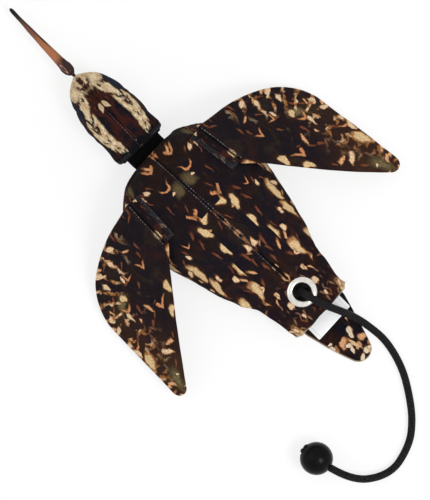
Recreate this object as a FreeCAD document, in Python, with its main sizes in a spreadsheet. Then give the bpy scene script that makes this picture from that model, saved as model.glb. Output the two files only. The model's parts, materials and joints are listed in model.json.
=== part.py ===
# A stuffed canvas training dummy in the shape of a game bird, lying on its belly.
# Millimetres. +X runs towards the bill, +Y to the bird's left, +Z up.
# The origin is on the surface it lies on, under the middle of the object.
import FreeCAD, Part
import math
import os
import re
import Sketcher

SIZES = {
    # The places along the bird are reaches from the eyelet's centre.
    "eyelet_place": -113.5,
    "canvas": 1.5,
    "clearance": 0.3,
    # Stuffed body
    "body_reach": 147,
    "body_width": 108,
    "body_height": 50,
    "belly_flat": 2,
    "mouth_level": 18.5,
    # Flat tail flange with its eyelet
    "flange_level": 15.5,
    "flange_width": 56.5,
    "flange_reach": 21.5,
    "flange_free": 14,
    "eyelet_hole": 13,
    "eyelet_width": 22.4,
    "eyelet_wall": 0.8,
    "eyelet_crown": 1.3,
    "washer_width": 20.5,
    "washer_thick": 1,
    # Neck strap
    "neck_width": 30,
    "neck_thick": 2,
    "neck_seam": 12,
    "neck_rear": 1.5,
    "neck_free": 4.2,
    # Head
    "head_length": 70,
    "head_width": 43.6,
    "head_height": 34,
    "head_turn": 4,
    "head_standoff": 4,
    # Bill
    "bill_length": 68,
    "bill_width": 8.6,
    "bill_height": 7,
    "bill_dip": 6,
    "bill_root": 1.3,
    "bill_level": 15,
    # Wings
    "wing_side": 39,
    "wing_lift": 3.8,
    "wing_yaw": 5.3,
    "wing_pitch": 4,
    "wing_droop": 30,
    "wing_root": 38,
    "wing_width": 81.5,
    "wing_sweep": 88,
    "wing_thick": 3.2,
    "foam_thick": 1.6,
    "foam_margin": 4,
    "tab_width": 6,
    "tab_thick": 1.2,
    # Tail tongue and its label
    "tongue_thick": 2,
    "tongue_width": 41,
    "tongue_reach": 67.5,
    "tongue_bend": 9,
    "label_width": 33,
    "label_length": 20,
    "label_reach": 32.5,
    "label_thick": 0.4,
    # Throw cord, its knots and its ball
    "cord_width": 5.5,
    "cord_spread": 135,
    "ball_back": 88.8,
    "ball_side": 82,
    "ball_turn": 5.2,
    "knot_width": 16,
    "knot_height": 10.4,
    "ball_width": 24,
    "ball_bore": 6.2,
    "ball_recess": 11,
    "ball_recess_depth": 5.7,
    "ball_recess_inset": 1.3,
    "end_knot_width": 10,
    "end_knot_length": 8.4,
}

doc = FreeCAD.newDocument("BirdDummy")
sheet = doc.addObject("Spreadsheet::Sheet", "Sizes")
for row, (alias, size) in enumerate(SIZES.items(), start=1):
    sheet.set(f"A{row}", str(size))
    sheet.setAlias(f"A{row}", alias)
doc.recompute()

ALIAS = re.compile(r"\b(" + "|".join(sorted(SIZES, key=len, reverse=True)) + r")\b")
REACH = 1000  # longer than the object, for cutting spaces
UPRIGHT = FreeCAD.Rotation(FreeCAD.Vector(1, 1, 1), 120)  # an outline's x, y become y, z
parts = []


# Derived places, as formulas of the sheet's sizes
BODY_LENGTH = "(body_reach-flange_free)"
BODY_MID = "(body_height/2-belly_flat)"
NECK_HINGE = "(eyelet_place+body_reach+neck_rear)"
HEAD_PLACE = f"({NECK_HINGE}+neck_free-neck_rear)"
HEAD_MID = "(head_height*0.503)"
BILL_HINGE = "(head_standoff+head_length+clearance+bill_root)"
WING_LEVEL = f"({BODY_MID}+body_height/2*sqrt(1-(2*wing_side/body_width)^2)+wing_lift)"
WING_PLACE = f"(eyelet_place+flange_free+{BODY_LENGTH}*0.6165)"
FLANGE_UNDER = "(flange_level-canvas)"
KNOT_TOP = f"({FLANGE_UNDER}-washer_thick)"
TONGUE_ROOT = f"(flange_free+{BODY_LENGTH}*0.083)"
TONGUE_LEVEL = "(flange_level-0.146*body_height-tongue_thick/2-clearance)"
BALL_PLACE = ("(eyelet_place-ball_back)", "ball_side", "ball_width/2")


def formula(text):
    """The formula with each size's name looked up in the sheet."""
    return ALIAS.sub(r"Sizes.\1", text)


def value(text):
    """The number that a formula gives with the sheet's sizes."""
    found = sheet.evalExpression(formula(text))
    return float(getattr(found, "Value", found))


def bind(item, **formulas):
    """Ties properties of an object to formulas; an underscore in a name stands for a dot."""
    for name, text in formulas.items():
        item.setExpression(name.replace("_", "."), formula(text))
    return item


def place(item, x="0", y="0", z="0", turns=()):
    """Ties an object's placement to a point and to turns, each an axis and an angle."""
    spin = "*".join(f"rotation(vector({axis});{angle})" for axis, angle in turns)
    spin = spin or "rotation(vector(0;0;1);0)"
    item.setExpression("Placement", formula(f"placement(vector({x};{y};{z});{spin})"))
    return item


def add(kind, name, **links):
    item = doc.addObject(kind, name)
    for prop, target in links.items():
        setattr(item, prop, target)
    return item


def cut(name, base, tool):
    return add("Part::Cut", name, Base=base, Tool=tool)


def common(name, base, tool):
    return add("Part::Common", name, Base=base, Tool=tool)


def fuse(name, base, tool):
    return add("Part::Fuse", name, Base=base, Tool=tool)


def keep(item, label):
    """Marks an object as a finished piece, whose label names its file."""
    item.Label = label
    parts.append(item)
    return item


def mirrored(item, label):
    """The same piece on the bird's other side."""
    twin = add("Part::Mirroring", label, Source=item)
    twin.Normal = FreeCAD.Vector(0, 1, 0)
    return keep(twin, label)


def box(name, length, width, height, x, y, z):
    item = bind(doc.addObject("Part::Box", name), Length=length, Width=width, Height=height)
    return bind(item, Placement_Base_x=x, Placement_Base_y=y, Placement_Base_z=z)


def oval_loft(name, stations, straight=False):
    """A skin through upright ovals, smooth or straight from one to the next.

    Each oval is given as its x, half-width, half-height and level.
    """
    ovals = []
    for number, (x, half_width, half_height, level) in enumerate(stations):
        oval = doc.addObject("Part::Ellipse", f"{name}_oval{number}")
        oval.Placement = FreeCAD.Placement(FreeCAD.Vector(), UPRIGHT)
        bind(oval, MajorRadius=half_width, MinorRadius=half_height)
        bind(oval, Placement_Base_x=x, Placement_Base_z=level)
        ovals.append(oval)
    return add("Part::Loft", name, Sections=ovals, Solid=True, Ruled=straight)


def arc_through(start, end, radius):
    """The shorter arc between two points, bulging to the right of the way from start to end."""
    chord = end - start
    side = FreeCAD.Vector(chord.y, -chord.x, 0).normalize()
    sagitta = radius - math.sqrt(radius**2 - (chord.Length / 2) ** 2)
    return Part.Arc(start, start + chord / 2 + side * sagitta, end)


def outline(sketch, corners):
    """A closed outline: each corner is x, y and, where an arc runs to the next, its radius."""
    points = [FreeCAD.Vector(value(c[0]), value(c[1]), 0) for c in corners]
    radii = [c[2] if len(c) > 2 else None for c in corners]
    ends = []
    for number, start in enumerate(points):
        end = points[(number + 1) % len(points)]
        radius = radii[number]
        if radius:
            curve = arc_through(start, end, value(radius))
            item = sketch.addGeometry(curve, False)
            flipped = (sketch.getPoint(item, 1) - start).Length > 1e-6
            ends.append((item, 2, 1) if flipped else (item, 1, 2))
            held = sketch.addConstraint(Sketcher.Constraint("Radius", item, value(radius)))
            sketch.setExpression(f"Constraints[{held}]", formula(radius))
        else:
            item = sketch.addGeometry(Part.LineSegment(start, end), False)
            ends.append((item, 1, 2))
    for number, (item, first, last) in enumerate(ends):
        following, begin = ends[(number + 1) % len(ends)][:2]
        sketch.addConstraint(Sketcher.Constraint("Coincident", item, last, following, begin))
        for kind, text in zip(("DistanceX", "DistanceY"), corners[number]):
            held = sketch.addConstraint(Sketcher.Constraint(kind, -1, 1, item, first, value(text)))
            sketch.setExpression(f"Constraints[{held}]", formula(text))
    return sketch


def body_sketch(body, role, name, corners):
    """A sketch on one of the body's own origin planes."""
    plane = [item for item in body.Origin.OriginFeatures if item.Role == role][0]
    sketch = body.newObject("Sketcher::SketchObject", name)
    sketch.AttachmentSupport = [(plane, "")]
    sketch.MapMode = "FlatFace"
    return outline(sketch, corners)


def feature(body, kind, name, profile, **settings):
    item = body.newObject(f"PartDesign::{kind}", name)
    item.Profile = profile
    for prop, setting in settings.items():
        setattr(item, prop, setting)
    return item


def plate(name, corners, thickness, reversed_way=False, both_ways=False):
    """A flat piece in the body's XY plane."""
    body = doc.addObject("PartDesign::Body", name)
    sketch = body_sketch(body, "XY_Plane", f"{name}_outline", corners)
    pad = feature(body, "Pad", f"{name}_pad", sketch, Reversed=reversed_way)
    pad.Midplane = both_ways
    bind(pad, Length=thickness)
    return body


def extruded(name, corners, rotation, half_depth):
    """An outline drawn on a turned plane, extruded both ways from it."""
    sketch = doc.addObject("Sketcher::SketchObject", f"{name}_outline")
    outline(sketch, corners)
    sketch.Placement = FreeCAD.Placement(FreeCAD.Vector(), rotation)
    item = add("Part::Extrusion", name, Base=sketch, DirMode="Normal", Solid=True)
    return bind(item, LengthFwd=half_depth, LengthRev=half_depth)


# ---------------------------------------------------------------- body and flange

# Share of the length from the mouth, of half the width and of half the height, and the
# share of the way from the end's level up to the body's middle level.
BODY_FRONT = [
    (0.0, 0.287, 0.12, 0.0),
    (0.014, 0.5, 0.26, 0.05),
    (0.1, 0.8, 0.76, 0.55),
    (0.19, 0.935, 0.93, 0.85),
    (0.32, 1.0, 1.0, 1.0),
]
BODY_REAR = [
    (0.47, 0.965, 0.96, 0.93),
    (0.62, 0.88, 0.82, 0.62),
    (0.76, 0.8, 0.6, 0.28),
    (0.88, 0.71, 0.36, 0.08),
    (0.96, 0.625, 0.17, 0.01),
    (1.0, 0.58, 0.06, 0.0),
]


def body_stations(margin):
    """The body's ovals, grown by a margin or shrunk by a negative one."""
    stations = []
    for ends, end_level in ((BODY_FRONT, "mouth_level"), (BODY_REAR, "flange_level")):
        for along, wide, high, rise in ends:
            x = f"eyelet_place+body_reach-{BODY_LENGTH}*{along}"
            half_width = f"body_width/2*{wide}+{margin}"
            half_height = f"body_height/2*{high}+{margin}"
            level = f"{end_level}+({BODY_MID}-{end_level})*{rise}"
            stations.append((x, half_width, half_height, level))
    return stations


def above(name, item, level):
    """What lies above a level."""
    space = box(f"{name}_space", str(REACH), str(REACH), str(REACH),
                str(-REACH / 2), str(-REACH / 2), level)
    return common(name, item, space)


def flange_plate():
    """The flat rear end, both layers together, with the eyelet's hole."""
    corners = [
        ("eyelet_place+flange_free*1.43", "flange_width*0.518"),
        ("eyelet_place+flange_free*0.86", "flange_width*0.544"),
        ("eyelet_place-flange_reach*0.56", "flange_width*0.472"),
        ("eyelet_place-flange_reach", "flange_width*0.486"),
    ]
    corners += [(x, f"-({y})") for x, y in reversed(corners)]
    body = plate("flange", corners[::-1], "canvas*2", both_ways=True)
    hole = doc.addObject("Part::Cylinder", "flange_hole")
    bind(hole, Radius="eyelet_hole/2+eyelet_wall", Height="canvas*4")
    place(hole, x="eyelet_place", z="-canvas*2")
    return place(cut("flange_pierced", body, hole), z="flange_level")


def body_pieces():
    outer = oval_loft("body_outer", body_stations("0"))
    inner = oval_loft("body_inner", body_stations("-canvas")[1:-1])
    hollow = above("body_hollow", inner, "canvas")
    skin = fuse("body_skin", above("body_form", outer, "0"), flange_plate())
    slot = box("mouth_slot", "neck_seam+canvas", "neck_width", "neck_thick",
               "eyelet_place+body_reach-neck_seam", "-neck_width/2", "mouth_level-neck_thick/2")
    keep(cut("stuffing", hollow, slot), "body_stuffing")
    shell = cut("body_open", cut("body_shell", skin, hollow), slot)
    rear = "(eyelet_place-flange_reach)"
    upper = extruded("upper_space", [
        (f"{rear}*1.1", "flange_level"),
        ("eyelet_place+flange_free", "flange_level"),
        ("eyelet_place+body_reach*1.1", "mouth_level"),
        ("eyelet_place+body_reach*1.1", "body_height*2"),
        (f"{rear}*1.1", "body_height*2"),
    ], FreeCAD.Rotation(FreeCAD.Vector(1, 0, 0), 90), "body_width")
    keep(cut("belly", shell, upper), "belly_panel")
    left_space = box("left_space", str(REACH), str(REACH), str(REACH),
                     str(-REACH / 2), "0", str(-REACH / 2))
    upper_skin = common("upper_skin", shell, upper)
    left = keep(common("back_left", upper_skin, left_space), "back_panel_left")
    mirrored(left, "back_panel_right")
    return outer, left_space


def wing_tab(outer):
    """The strip that the wing hangs on, hugging the back."""
    cover = oval_loft("tab_outer", body_stations("tab_thick"))
    near = "-wing_thick/2-clearance"
    corners = [
        ("0", near),
        ("tab_width*0.25", f"{near}-tab_width"),
        ("wing_root-tab_width*0.08", f"{near}-tab_width*0.92"),
        ("wing_root", near),
    ]
    strip = plate("tab_strip", corners, "body_height")
    place(strip, WING_PLACE, "wing_side", "body_height/2", [("0;0;1", "-wing_yaw")])
    left = keep(cut("tab_left", common("tab_cover", cover, strip), outer), "wing_tab_left")
    mirrored(left, "wing_tab_right")


# ---------------------------------------------------------------- eyelet


def ring(name, corners, x, level):
    """A turned piece about an upright axis, drawn as radius and height."""
    body = doc.addObject("PartDesign::Body", name)
    sketch = body_sketch(body, "XZ_Plane", f"{name}_profile", corners)
    feature(body, "Revolution", f"{name}_turn", sketch,
            ReferenceAxis=(sketch, ["V_Axis"]), Angle=360)
    return place(body, x=x, z=level)


def eyelet():
    bore = "eyelet_hole/2"
    barrel = "(eyelet_hole/2+eyelet_wall)"
    depth = "(canvas*2+washer_thick)"
    crown = [
        (bore, f"-{depth}"),
        (barrel, f"-{depth}"),
        (barrel, "0"),
        ("eyelet_width/2", "0", "eyelet_crown*2.6"),
        (bore, "eyelet_crown*0.5"),
    ]
    keep(ring("eyelet_crown_ring", crown, "eyelet_place", "flange_level+canvas"), "eyelet")
    washer = [
        (barrel, "0"),
        ("washer_width/2-washer_thick*0.3", "0"),
        ("washer_width/2", "washer_thick*0.3"),
        ("washer_width/2", "washer_thick"),
        (barrel, "washer_thick"),
    ]
    keep(ring("washer_ring", washer, "eyelet_place", KNOT_TOP), "eyelet_washer")


# ---------------------------------------------------------------- neck and head


def neck():
    half = "neck_width/2"
    rear_end = box("neck_rear_end", "neck_seam+neck_rear-neck_thick/2-clearance", "neck_width",
                   "neck_thick", "eyelet_place+body_reach-neck_seam", f"-{half}",
                   "mouth_level-neck_thick/2")
    keep(rear_end, "neck_strap_rear_end")
    slant = f"{half}*tan(head_turn)"
    front = "neck_free-neck_rear-clearance/2"
    corners = [("0", f"-{half}"), (f"{front}-{slant}", f"-{half}"),
               (f"{front}+{slant}", half), ("0", half)]
    strap = plate("strap_plate", corners, "neck_thick", both_ways=True)
    fold = doc.addObject("Part::Cylinder", "strap_fold")
    bind(fold, Radius="neck_thick/2", Height="neck_width")
    place(fold, y=half, turns=[("1;0;0", "90")])
    joined = fuse("strap_joined", strap, fold)
    keep(place(joined, NECK_HINGE, "0", "mouth_level"), "neck_strap")


# Share of the length from the base, of half the width and of half the height, and the
# share of the way from the neck's level to the head's middle level.
HEAD_OVALS = [
    (0.0, 0.76, 0.13, 0.0),
    (0.03, 0.9, 0.27, 0.1),
    (0.08, 0.965, 0.47, 0.3),
    (0.18, 0.995, 0.73, 0.7),
    (0.34, 1.0, 0.93, 1.0),
    (0.5, 0.98, 1.0, 1.0),
    (0.64, 0.91, 0.96, 1.05),
    (0.78, 0.77, 0.81, 1.15),
    (0.88, 0.59, 0.61, 1.3),
    (0.95, 0.36, 0.37, 1.45),
    (0.99, 0.16, 0.17, 1.5),
    (1.0, 0.07, 0.07, 1.5),
]


def head_stations(margin):
    stations = []
    for along, wide, high, rise in HEAD_OVALS:
        stations.append((
            f"head_standoff+head_length*{along}",
            f"head_width/2*{wide}+{margin}",
            f"head_height/2*{high}+{margin}",
            f"mouth_level+({HEAD_MID}-mouth_level)*{rise}",
        ))
    return stations


def on_head(item, label):
    """Keeps a piece that was made about the head's own axis, turned to where it lies."""
    place(item, HEAD_PLACE, "0", "0", [("0;0;1", "-head_turn")])
    return keep(item, label)


def head(left_space):
    outer = oval_loft("head_outer", head_stations("0"))
    inner = oval_loft("head_inner", head_stations("-canvas")[1:-2])
    seam_end = box("head_seam_end", "head_standoff+neck_seam-clearance/2", "neck_width",
                   "neck_thick", "clearance/2", "-neck_width/2", "mouth_level-neck_thick/2")
    shell = cut("head_open", cut("head_shell", outer, inner), seam_end)
    left = common("head_left", shell, left_space)
    right = add("Part::Mirroring", "head_right", Source=left)
    right.Normal = FreeCAD.Vector(0, 1, 0)
    filling = cut("head_filling", inner, seam_end)
    # The pieces are copies turned with the head, because a mirrored half keeps its own place.
    for item, label in ((left, "head_panel_left"), (right, "head_panel_right"),
                        (filling, "head_stuffing"), (seam_end, "neck_strap_front_end")):
        on_head(turned_copy(item), label)


def turned_copy(item):
    """A link-free stand-in that can be placed without moving what it was made from."""
    return add("Part::Compound", f"{item.Name}_set", Links=[item])


# Distance from the root's axis, half-width and half-height as shares of the bill's sizes
BILL_OVALS = [
    (0.03, 0.6, 0.56),
    (0.06, 0.93, 0.86),
    (0.115, 1.0, 1.0),
    (0.175, 0.86, 0.94),
    (0.24, 0.79, 0.86),
    (0.45, 0.65, 0.68),
    (0.7, 0.49, 0.53),
    (0.96, 0.34, 0.38),
    (1.0, 0.15, 0.18),
]


def bill():
    """A tapered bill that bends at its narrow root, dipping towards its tip."""
    root = [("-bill_root*0.9", "bill_root*0.45", "bill_root*0.4", "0"),
            ("0", "bill_root", "bill_root*0.9", "0")]
    stations = root + [
        (f"bill_length*{along}", f"bill_width/2*{wide}", f"bill_height/2*{high}", "0")
        for along, wide, high in BILL_OVALS
    ]
    item = oval_loft("bill_form", stations, straight=True)
    turn = "head_turn"
    place(item, f"{HEAD_PLACE}+{BILL_HINGE}*cos({turn})", f"-{BILL_HINGE}*sin({turn})",
          "bill_level", [("0;0;1", f"-{turn}"), ("0;1;0", "bill_dip")])
    keep(item, "bill")


# ---------------------------------------------------------------- wings


def wing_outline(inset):
    """The wing's plan from its fold: x forwards along the fold, y outwards."""
    if inset == "0":
        root = "-wing_thick/2"
    else:
        root = inset
    return [
        (f"-0.02*wing_sweep+{inset}", root),
        (f"wing_root-{inset}", root),
        (f"wing_root-{inset}", f"0.07*wing_width+{inset}", "wing_width*1.09"),
        (f"0.5*wing_root-0.8*{inset}", f"0.745*wing_width-0.6*{inset}", "wing_width*0.57"),
        ("-0.16*wing_sweep", f"wing_width-{inset}"),
        (f"-0.955*wing_sweep+{inset}", f"0.98*wing_width-{inset}",
         f"0.081*wing_width-0.5*{inset}"),
        (f"-0.98*wing_sweep+1.6*{inset}", f"0.83*wing_width"),
        (f"-0.16*wing_sweep+{inset}", f"0.135*wing_width+{inset}"),
    ]


def on_wing(item, label):
    turns = [("0;0;1", "-wing_yaw"), ("0;1;0", "wing_pitch"), ("1;0;0", "-wing_droop")]
    place(item, WING_PLACE, "wing_side", WING_LEVEL, turns)
    return keep(item, label)


def wing_panel(name, downwards):
    """One canvas half of the wing, hollowed for the foam, with its rim rolled over."""
    body = plate(name, wing_outline("0"), "wing_thick/2", reversed_way=downwards)
    pocket_sketch = body_sketch(body, "XY_Plane", f"{name}_hollow", wing_outline("foam_margin"))
    hollow = feature(body, "Pocket", f"{name}_pocket", pocket_sketch, Reversed=not downwards)
    bind(hollow, Length="foam_thick/2")
    doc.recompute()
    outside = -value("wing_thick/2") if downwards else value("wing_thick/2")
    fold = value("-wing_thick/2")
    edges = list(enumerate(hollow.Shape.Edges, start=1))
    on_face = [(n, edge) for n, edge in edges
               if all(abs(v.Z - outside) < 1e-6 for v in edge.Vertexes)]
    root = [n for n, edge in on_face if all(abs(v.Y - fold) < 1e-6 for v in edge.Vertexes)]
    rounding = body.newObject("PartDesign::Fillet", f"{name}_fold")
    rounding.Base = (hollow, [f"Edge{n}" for n in root])
    bind(rounding, Radius="wing_thick*0.48")
    return body


def wings():
    upper = on_wing(wing_panel("wing_upper", False), "wing_left_upper_panel")
    lower = on_wing(wing_panel("wing_lower", True), "wing_left_lower_panel")
    sheet_foam = plate("wing_core", wing_outline("foam_margin"), "foam_thick", both_ways=True)
    foam = on_wing(sheet_foam, "wing_left_foam")
    mirrored(upper, "wing_right_upper_panel")
    mirrored(lower, "wing_right_lower_panel")
    mirrored(foam, "wing_right_foam")


# ---------------------------------------------------------------- tail tongue


def tongue_layer(name, bottom, top):
    """One layer of the tongue, from its fold down to the surface and along it."""
    lean = f"(({TONGUE_LEVEL}-tongue_thick/2)/({TONGUE_ROOT}-tongue_bend)*0.96)"
    end = "-tongue_reach"
    corners = [
        (end, bottom),
        ("tongue_bend", bottom),
        (f"{TONGUE_ROOT}-{lean}*({bottom}-tongue_thick/2)",
         f"{TONGUE_LEVEL}+({bottom}-tongue_thick/2)*0.94"),
        (f"{TONGUE_ROOT}-{lean}*({top}-tongue_thick/2)",
         f"{TONGUE_LEVEL}+({top}-tongue_thick/2)*0.94"),
        ("tongue_bend", top),
        (end, top),
    ]
    band = extruded(name, corners, FreeCAD.Rotation(FreeCAD.Vector(1, 0, 0), 90),
                    "tongue_width")
    return band


def tongue():
    half = "tongue_width/2"
    corners = [
        (f"{TONGUE_ROOT}+tongue_bend/2", f"-{half}"),
        (f"{TONGUE_ROOT}+tongue_bend/2", half),
        ("-tongue_reach*0.36", half),
        ("-tongue_reach*0.6", f"{half}*0.76"),
        (f"-tongue_reach+{half}*0.35", f"{half}*0.43", f"{half}*0.44"),
        (f"-tongue_reach+{half}*0.35", f"-{half}*0.43"),
        ("-tongue_reach*0.6", f"-{half}*0.76"),
        ("-tongue_reach*0.36", f"-{half}"),
    ]
    fold = doc.addObject("Part::Cylinder", "tongue_fold")
    bind(fold, Radius="tongue_thick/2", Height="tongue_width")
    place(fold, TONGUE_ROOT, half, TONGUE_LEVEL, [("1;0;0", "90")])
    for layer, bottom, top in (("lower", "0", "tongue_thick/2"),
                               ("upper", "tongue_thick/2", "tongue_thick")):
        plan = extruded(f"tongue_{layer}_plan", corners, FreeCAD.Rotation(), "body_height")
        band = common(f"tongue_{layer}", tongue_layer(f"tongue_{layer}_band", bottom, top), plan)
        if layer == "upper":
            band = fuse("tongue_folded", band, fold)
        else:
            band = cut("tongue_under", band, fold)
        keep(place(band, "eyelet_place"), f"tail_{layer}_panel")
    label = box("label_box", "label_length", "label_width", "label_thick",
                "eyelet_place-label_reach", "-label_width/2", "tongue_thick")
    keep(label, "label")


# ---------------------------------------------------------------- cord, knots and ball

OVER_FLANGE = "(flange_level+canvas+cord_width)"
LYING = "cord_width*0.51"

# The cord's route from the eyelet's centre: forwards, to the bird's left, and up from the surface
ROUTE = [
    ("0", "0", KNOT_TOP),
    ("0", "0", f"{OVER_FLANGE}*0.845"),
    ("-flange_reach*0.23", "-cord_spread*0.006", f"{OVER_FLANGE}*1.03"),
    ("-flange_reach*0.79", "-cord_spread*0.024", f"{OVER_FLANGE}*1.005"),
    ("-flange_reach*1.4", "-cord_spread*0.064", "flange_level+cord_width*0.2"),
    ("-flange_reach*1.91", "-cord_spread*0.092", "cord_width*1.6"),
    ("-cord_spread*0.393", "-cord_spread*0.107", "cord_width*0.71"),
    ("-cord_spread*0.519", "-cord_spread*0.113", LYING),
    ("-cord_spread*0.674", "-cord_spread*0.059", LYING),
    ("-cord_spread*0.8", "cord_spread*0.024", LYING),
    ("-cord_spread*0.904", "cord_spread*0.113", LYING),
    ("-cord_spread*0.97", "cord_spread*0.23", LYING),
    ("-cord_spread", "cord_spread*0.411", LYING),
    ("-ball_back-ball_width*1.1", "ball_side-ball_width*0.1", "ball_width/2"),
]


def cord_route():
    """The route's points, the last one at the knot in the ball's recess."""
    start = FreeCAD.Vector(value("eyelet_place"), 0, 0)
    points = [start + FreeCAD.Vector(*(value(way) for way in point)) for point in ROUTE]
    seat = value("ball_width/2-ball_recess_inset-ball_recess_depth+clearance")
    yaw = math.radians(value("ball_turn"))
    centre = FreeCAD.Vector(*(value(way) for way in BALL_PLACE))
    points.append(centre + FreeCAD.Vector(math.cos(yaw), math.sin(yaw), 0) * seat)
    return points


def rounded_path(points):
    """Straight runs joined by tangent arcs, and the arcs' radii."""
    edges = []
    radii = []
    start = points[0]
    for before, corner, after in zip(points, points[1:], points[2:]):
        back = before - corner
        ahead = after - corner
        turn = math.pi - back.getAngle(ahead)
        trim = 0.45 * min(back.Length, ahead.Length)
        radius = trim / math.tan(turn / 2)
        first = corner + back.normalize() * trim
        last = corner + ahead.normalize() * trim
        inward = (back + ahead).normalize()
        middle = corner + inward * (radius / math.cos(turn / 2) - radius)
        edges.append(Part.LineSegment(start, first).toShape())
        edges.append(Part.Arc(first, middle, last).toShape())
        radii.append(radius)
        start = last
    edges.append(Part.LineSegment(start, points[-1]).toShape())
    return Part.Wire(edges), radii


def cord():
    """The braided cord, as one tube along its route."""
    points = cord_route()
    path, radii = rounded_path(points)
    radius = value("cord_width/2")
    profile = Part.Wire(Part.makeCircle(radius, points[0], points[1] - points[0]))
    tube = path.makePipeShell([profile], True, False, 2)
    item = doc.addObject("Part::Feature", "cord_tube")
    item.Shape = tube
    keep(item, "throw_cord")
    print("cord radii", [round(r, 1) for r in radii])
    expected = math.pi * radius**2 * path.Length
    print("cord length", round(path.Length, 1), "volume ratio", round(tube.Volume / expected, 4))


def knot(name, width, length, seat_share):
    """A rounded knot about an upright axis whose flat top, at its origin, is its seat."""
    lump = doc.addObject("Part::Ellipsoid", f"{name}_lump")
    bind(lump, Radius1=f"{length}/2", Radius2=f"{width}/2", Radius3=f"{width}/2")
    place(lump, z=f"-{length}/2*{seat_share}")
    space = box(f"{name}_space", str(REACH), str(REACH), str(REACH),
                str(-REACH / 2), str(-REACH / 2), str(-REACH))
    return common(name, lump, space)


def knots_and_ball():
    stopper = knot("stopper", "knot_width", "knot_height", 0.54)
    keep(place(stopper, "eyelet_place", "0", KNOT_TOP), "stopper_knot")
    end = knot("end", "end_knot_width", "end_knot_length", 0.78)
    tip = cord_route()[-1]
    place(end, str(tip.x), str(tip.y), str(tip.z), [("0;0;1", "ball_turn"), ("0;1;0", "-90")])
    keep(end, "end_knot")
    body = doc.addObject("PartDesign::Body", "ball_turned")
    radius = "ball_width/2"
    bore = "ball_bore/2"
    recess = "ball_recess/2"
    floor = f"({radius}-ball_recess_inset-ball_recess_depth)"
    corners = [
        (f"-sqrt(({radius})^2-({bore})^2)", bore),
        (floor, bore),
        (floor, recess),
        (f"sqrt(({radius})^2-({recess})^2)", recess, radius),
        ("0", radius, radius),
    ]
    sketch = body_sketch(body, "XY_Plane", "ball_profile", corners)
    feature(body, "Revolution", "ball_turn", sketch,
            ReferenceAxis=(sketch, ["H_Axis"]), Angle=360)
    place(body, *BALL_PLACE, [("0;0;1", "ball_turn")])
    keep(body, "throw_ball")


# ---------------------------------------------------------------- the whole


def check_and_write():
    doc.recompute()
    for item in doc.Objects:
        if {"Invalid", "Error"} & set(item.State):
            raise RuntimeError(f"{item.Name} failed: {item.State}")
    for item in parts:
        shape = item.Shape
        if shape.isNull() or not shape.isValid() or not shape.Solids:
            raise RuntimeError(f"{item.Label} has no valid solid")
    os.makedirs("parts", exist_ok=True)
    for item in parts:
        item.Shape.exportStep(f"parts/{item.Label}.step")
        box_ = item.Shape.BoundBox
        print(f"{item.Label}: {len(item.Shape.Solids)} solid, {item.Shape.Volume:.0f} mm3, "
              f"x {box_.XMin:.1f}..{box_.XMax:.1f} y {box_.YMin:.1f}..{box_.YMax:.1f} "
              f"z {box_.ZMin:.1f}..{box_.ZMax:.1f}")


outer_body, left_half = body_pieces()
wing_tab(outer_body)
eyelet()
neck()
head(left_half)
bill()
wings()
tongue()
cord()
knots_and_ball()
check_and_write()
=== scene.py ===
# The looks of a stuffed canvas training dummy in the shape of a game bird. All lengths are in metres.
import bisect
import itertools
import json
import math
import random
import bmesh
import bpy
from mathutils import Matrix, Vector, geometry, noise
from mathutils.bvhtree import BVHTree


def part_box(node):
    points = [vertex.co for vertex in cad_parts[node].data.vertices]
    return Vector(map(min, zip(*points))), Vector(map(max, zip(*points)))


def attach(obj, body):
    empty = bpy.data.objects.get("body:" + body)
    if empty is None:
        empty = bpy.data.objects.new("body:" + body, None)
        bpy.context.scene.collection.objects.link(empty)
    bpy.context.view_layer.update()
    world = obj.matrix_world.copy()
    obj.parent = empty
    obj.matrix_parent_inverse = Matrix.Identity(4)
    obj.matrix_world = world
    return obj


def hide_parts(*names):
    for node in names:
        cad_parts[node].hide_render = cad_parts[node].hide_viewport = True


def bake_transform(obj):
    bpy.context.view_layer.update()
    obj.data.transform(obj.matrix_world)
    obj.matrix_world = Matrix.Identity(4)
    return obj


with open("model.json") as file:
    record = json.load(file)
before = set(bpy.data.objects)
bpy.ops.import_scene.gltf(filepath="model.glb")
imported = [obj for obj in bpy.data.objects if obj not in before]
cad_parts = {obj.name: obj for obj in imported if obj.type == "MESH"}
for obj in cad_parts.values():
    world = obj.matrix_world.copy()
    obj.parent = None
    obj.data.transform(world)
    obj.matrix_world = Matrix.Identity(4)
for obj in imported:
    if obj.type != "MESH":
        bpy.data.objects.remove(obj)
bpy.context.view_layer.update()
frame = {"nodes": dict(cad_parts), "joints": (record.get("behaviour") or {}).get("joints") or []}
joints = {joint["name"]: joint for joint in frame["joints"]}
MM = 0.001
eyelet_low, eyelet_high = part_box("eyelet")
EYELET_X = (eyelet_low[0] + eyelet_high[0]) / 2
UP = Vector((0, 0, 1))


# ---------------------------------------------------------------- camera

CAMERA_TURN = math.radians(-137.8)
CAMERA_HEIGHT = 1.6
FRAME_HEIGHT = 0.3636  # what the frame's longer side covers at the bird's middle height
FRAME_CENTRE = (EYELET_X + 66.5 * MM, 19.7 * MM)
SENSOR = 36.0


def new_object(name, data):
    item = bpy.data.objects.new(name, data)
    bpy.context.scene.collection.objects.link(item)
    return item


def set_up_camera():
    data = bpy.data.cameras.new("overhead_camera")
    data.sensor_width = SENSOR
    data.lens = SENSOR * CAMERA_HEIGHT / FRAME_HEIGHT
    camera = new_object("overhead_camera", data)
    camera.location = (*FRAME_CENTRE, CAMERA_HEIGHT)
    camera.rotation_euler = (0, 0, CAMERA_TURN)
    bpy.context.scene.camera = camera


set_up_camera()


# ---------------------------------------------------------------- mesh and path helpers


def place(reach, side, height):
    """A point given in millimetres: forwards from the eyelet, to the bird's left, and up."""
    return Vector((EYELET_X + reach * MM, side * MM, height * MM))


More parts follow.
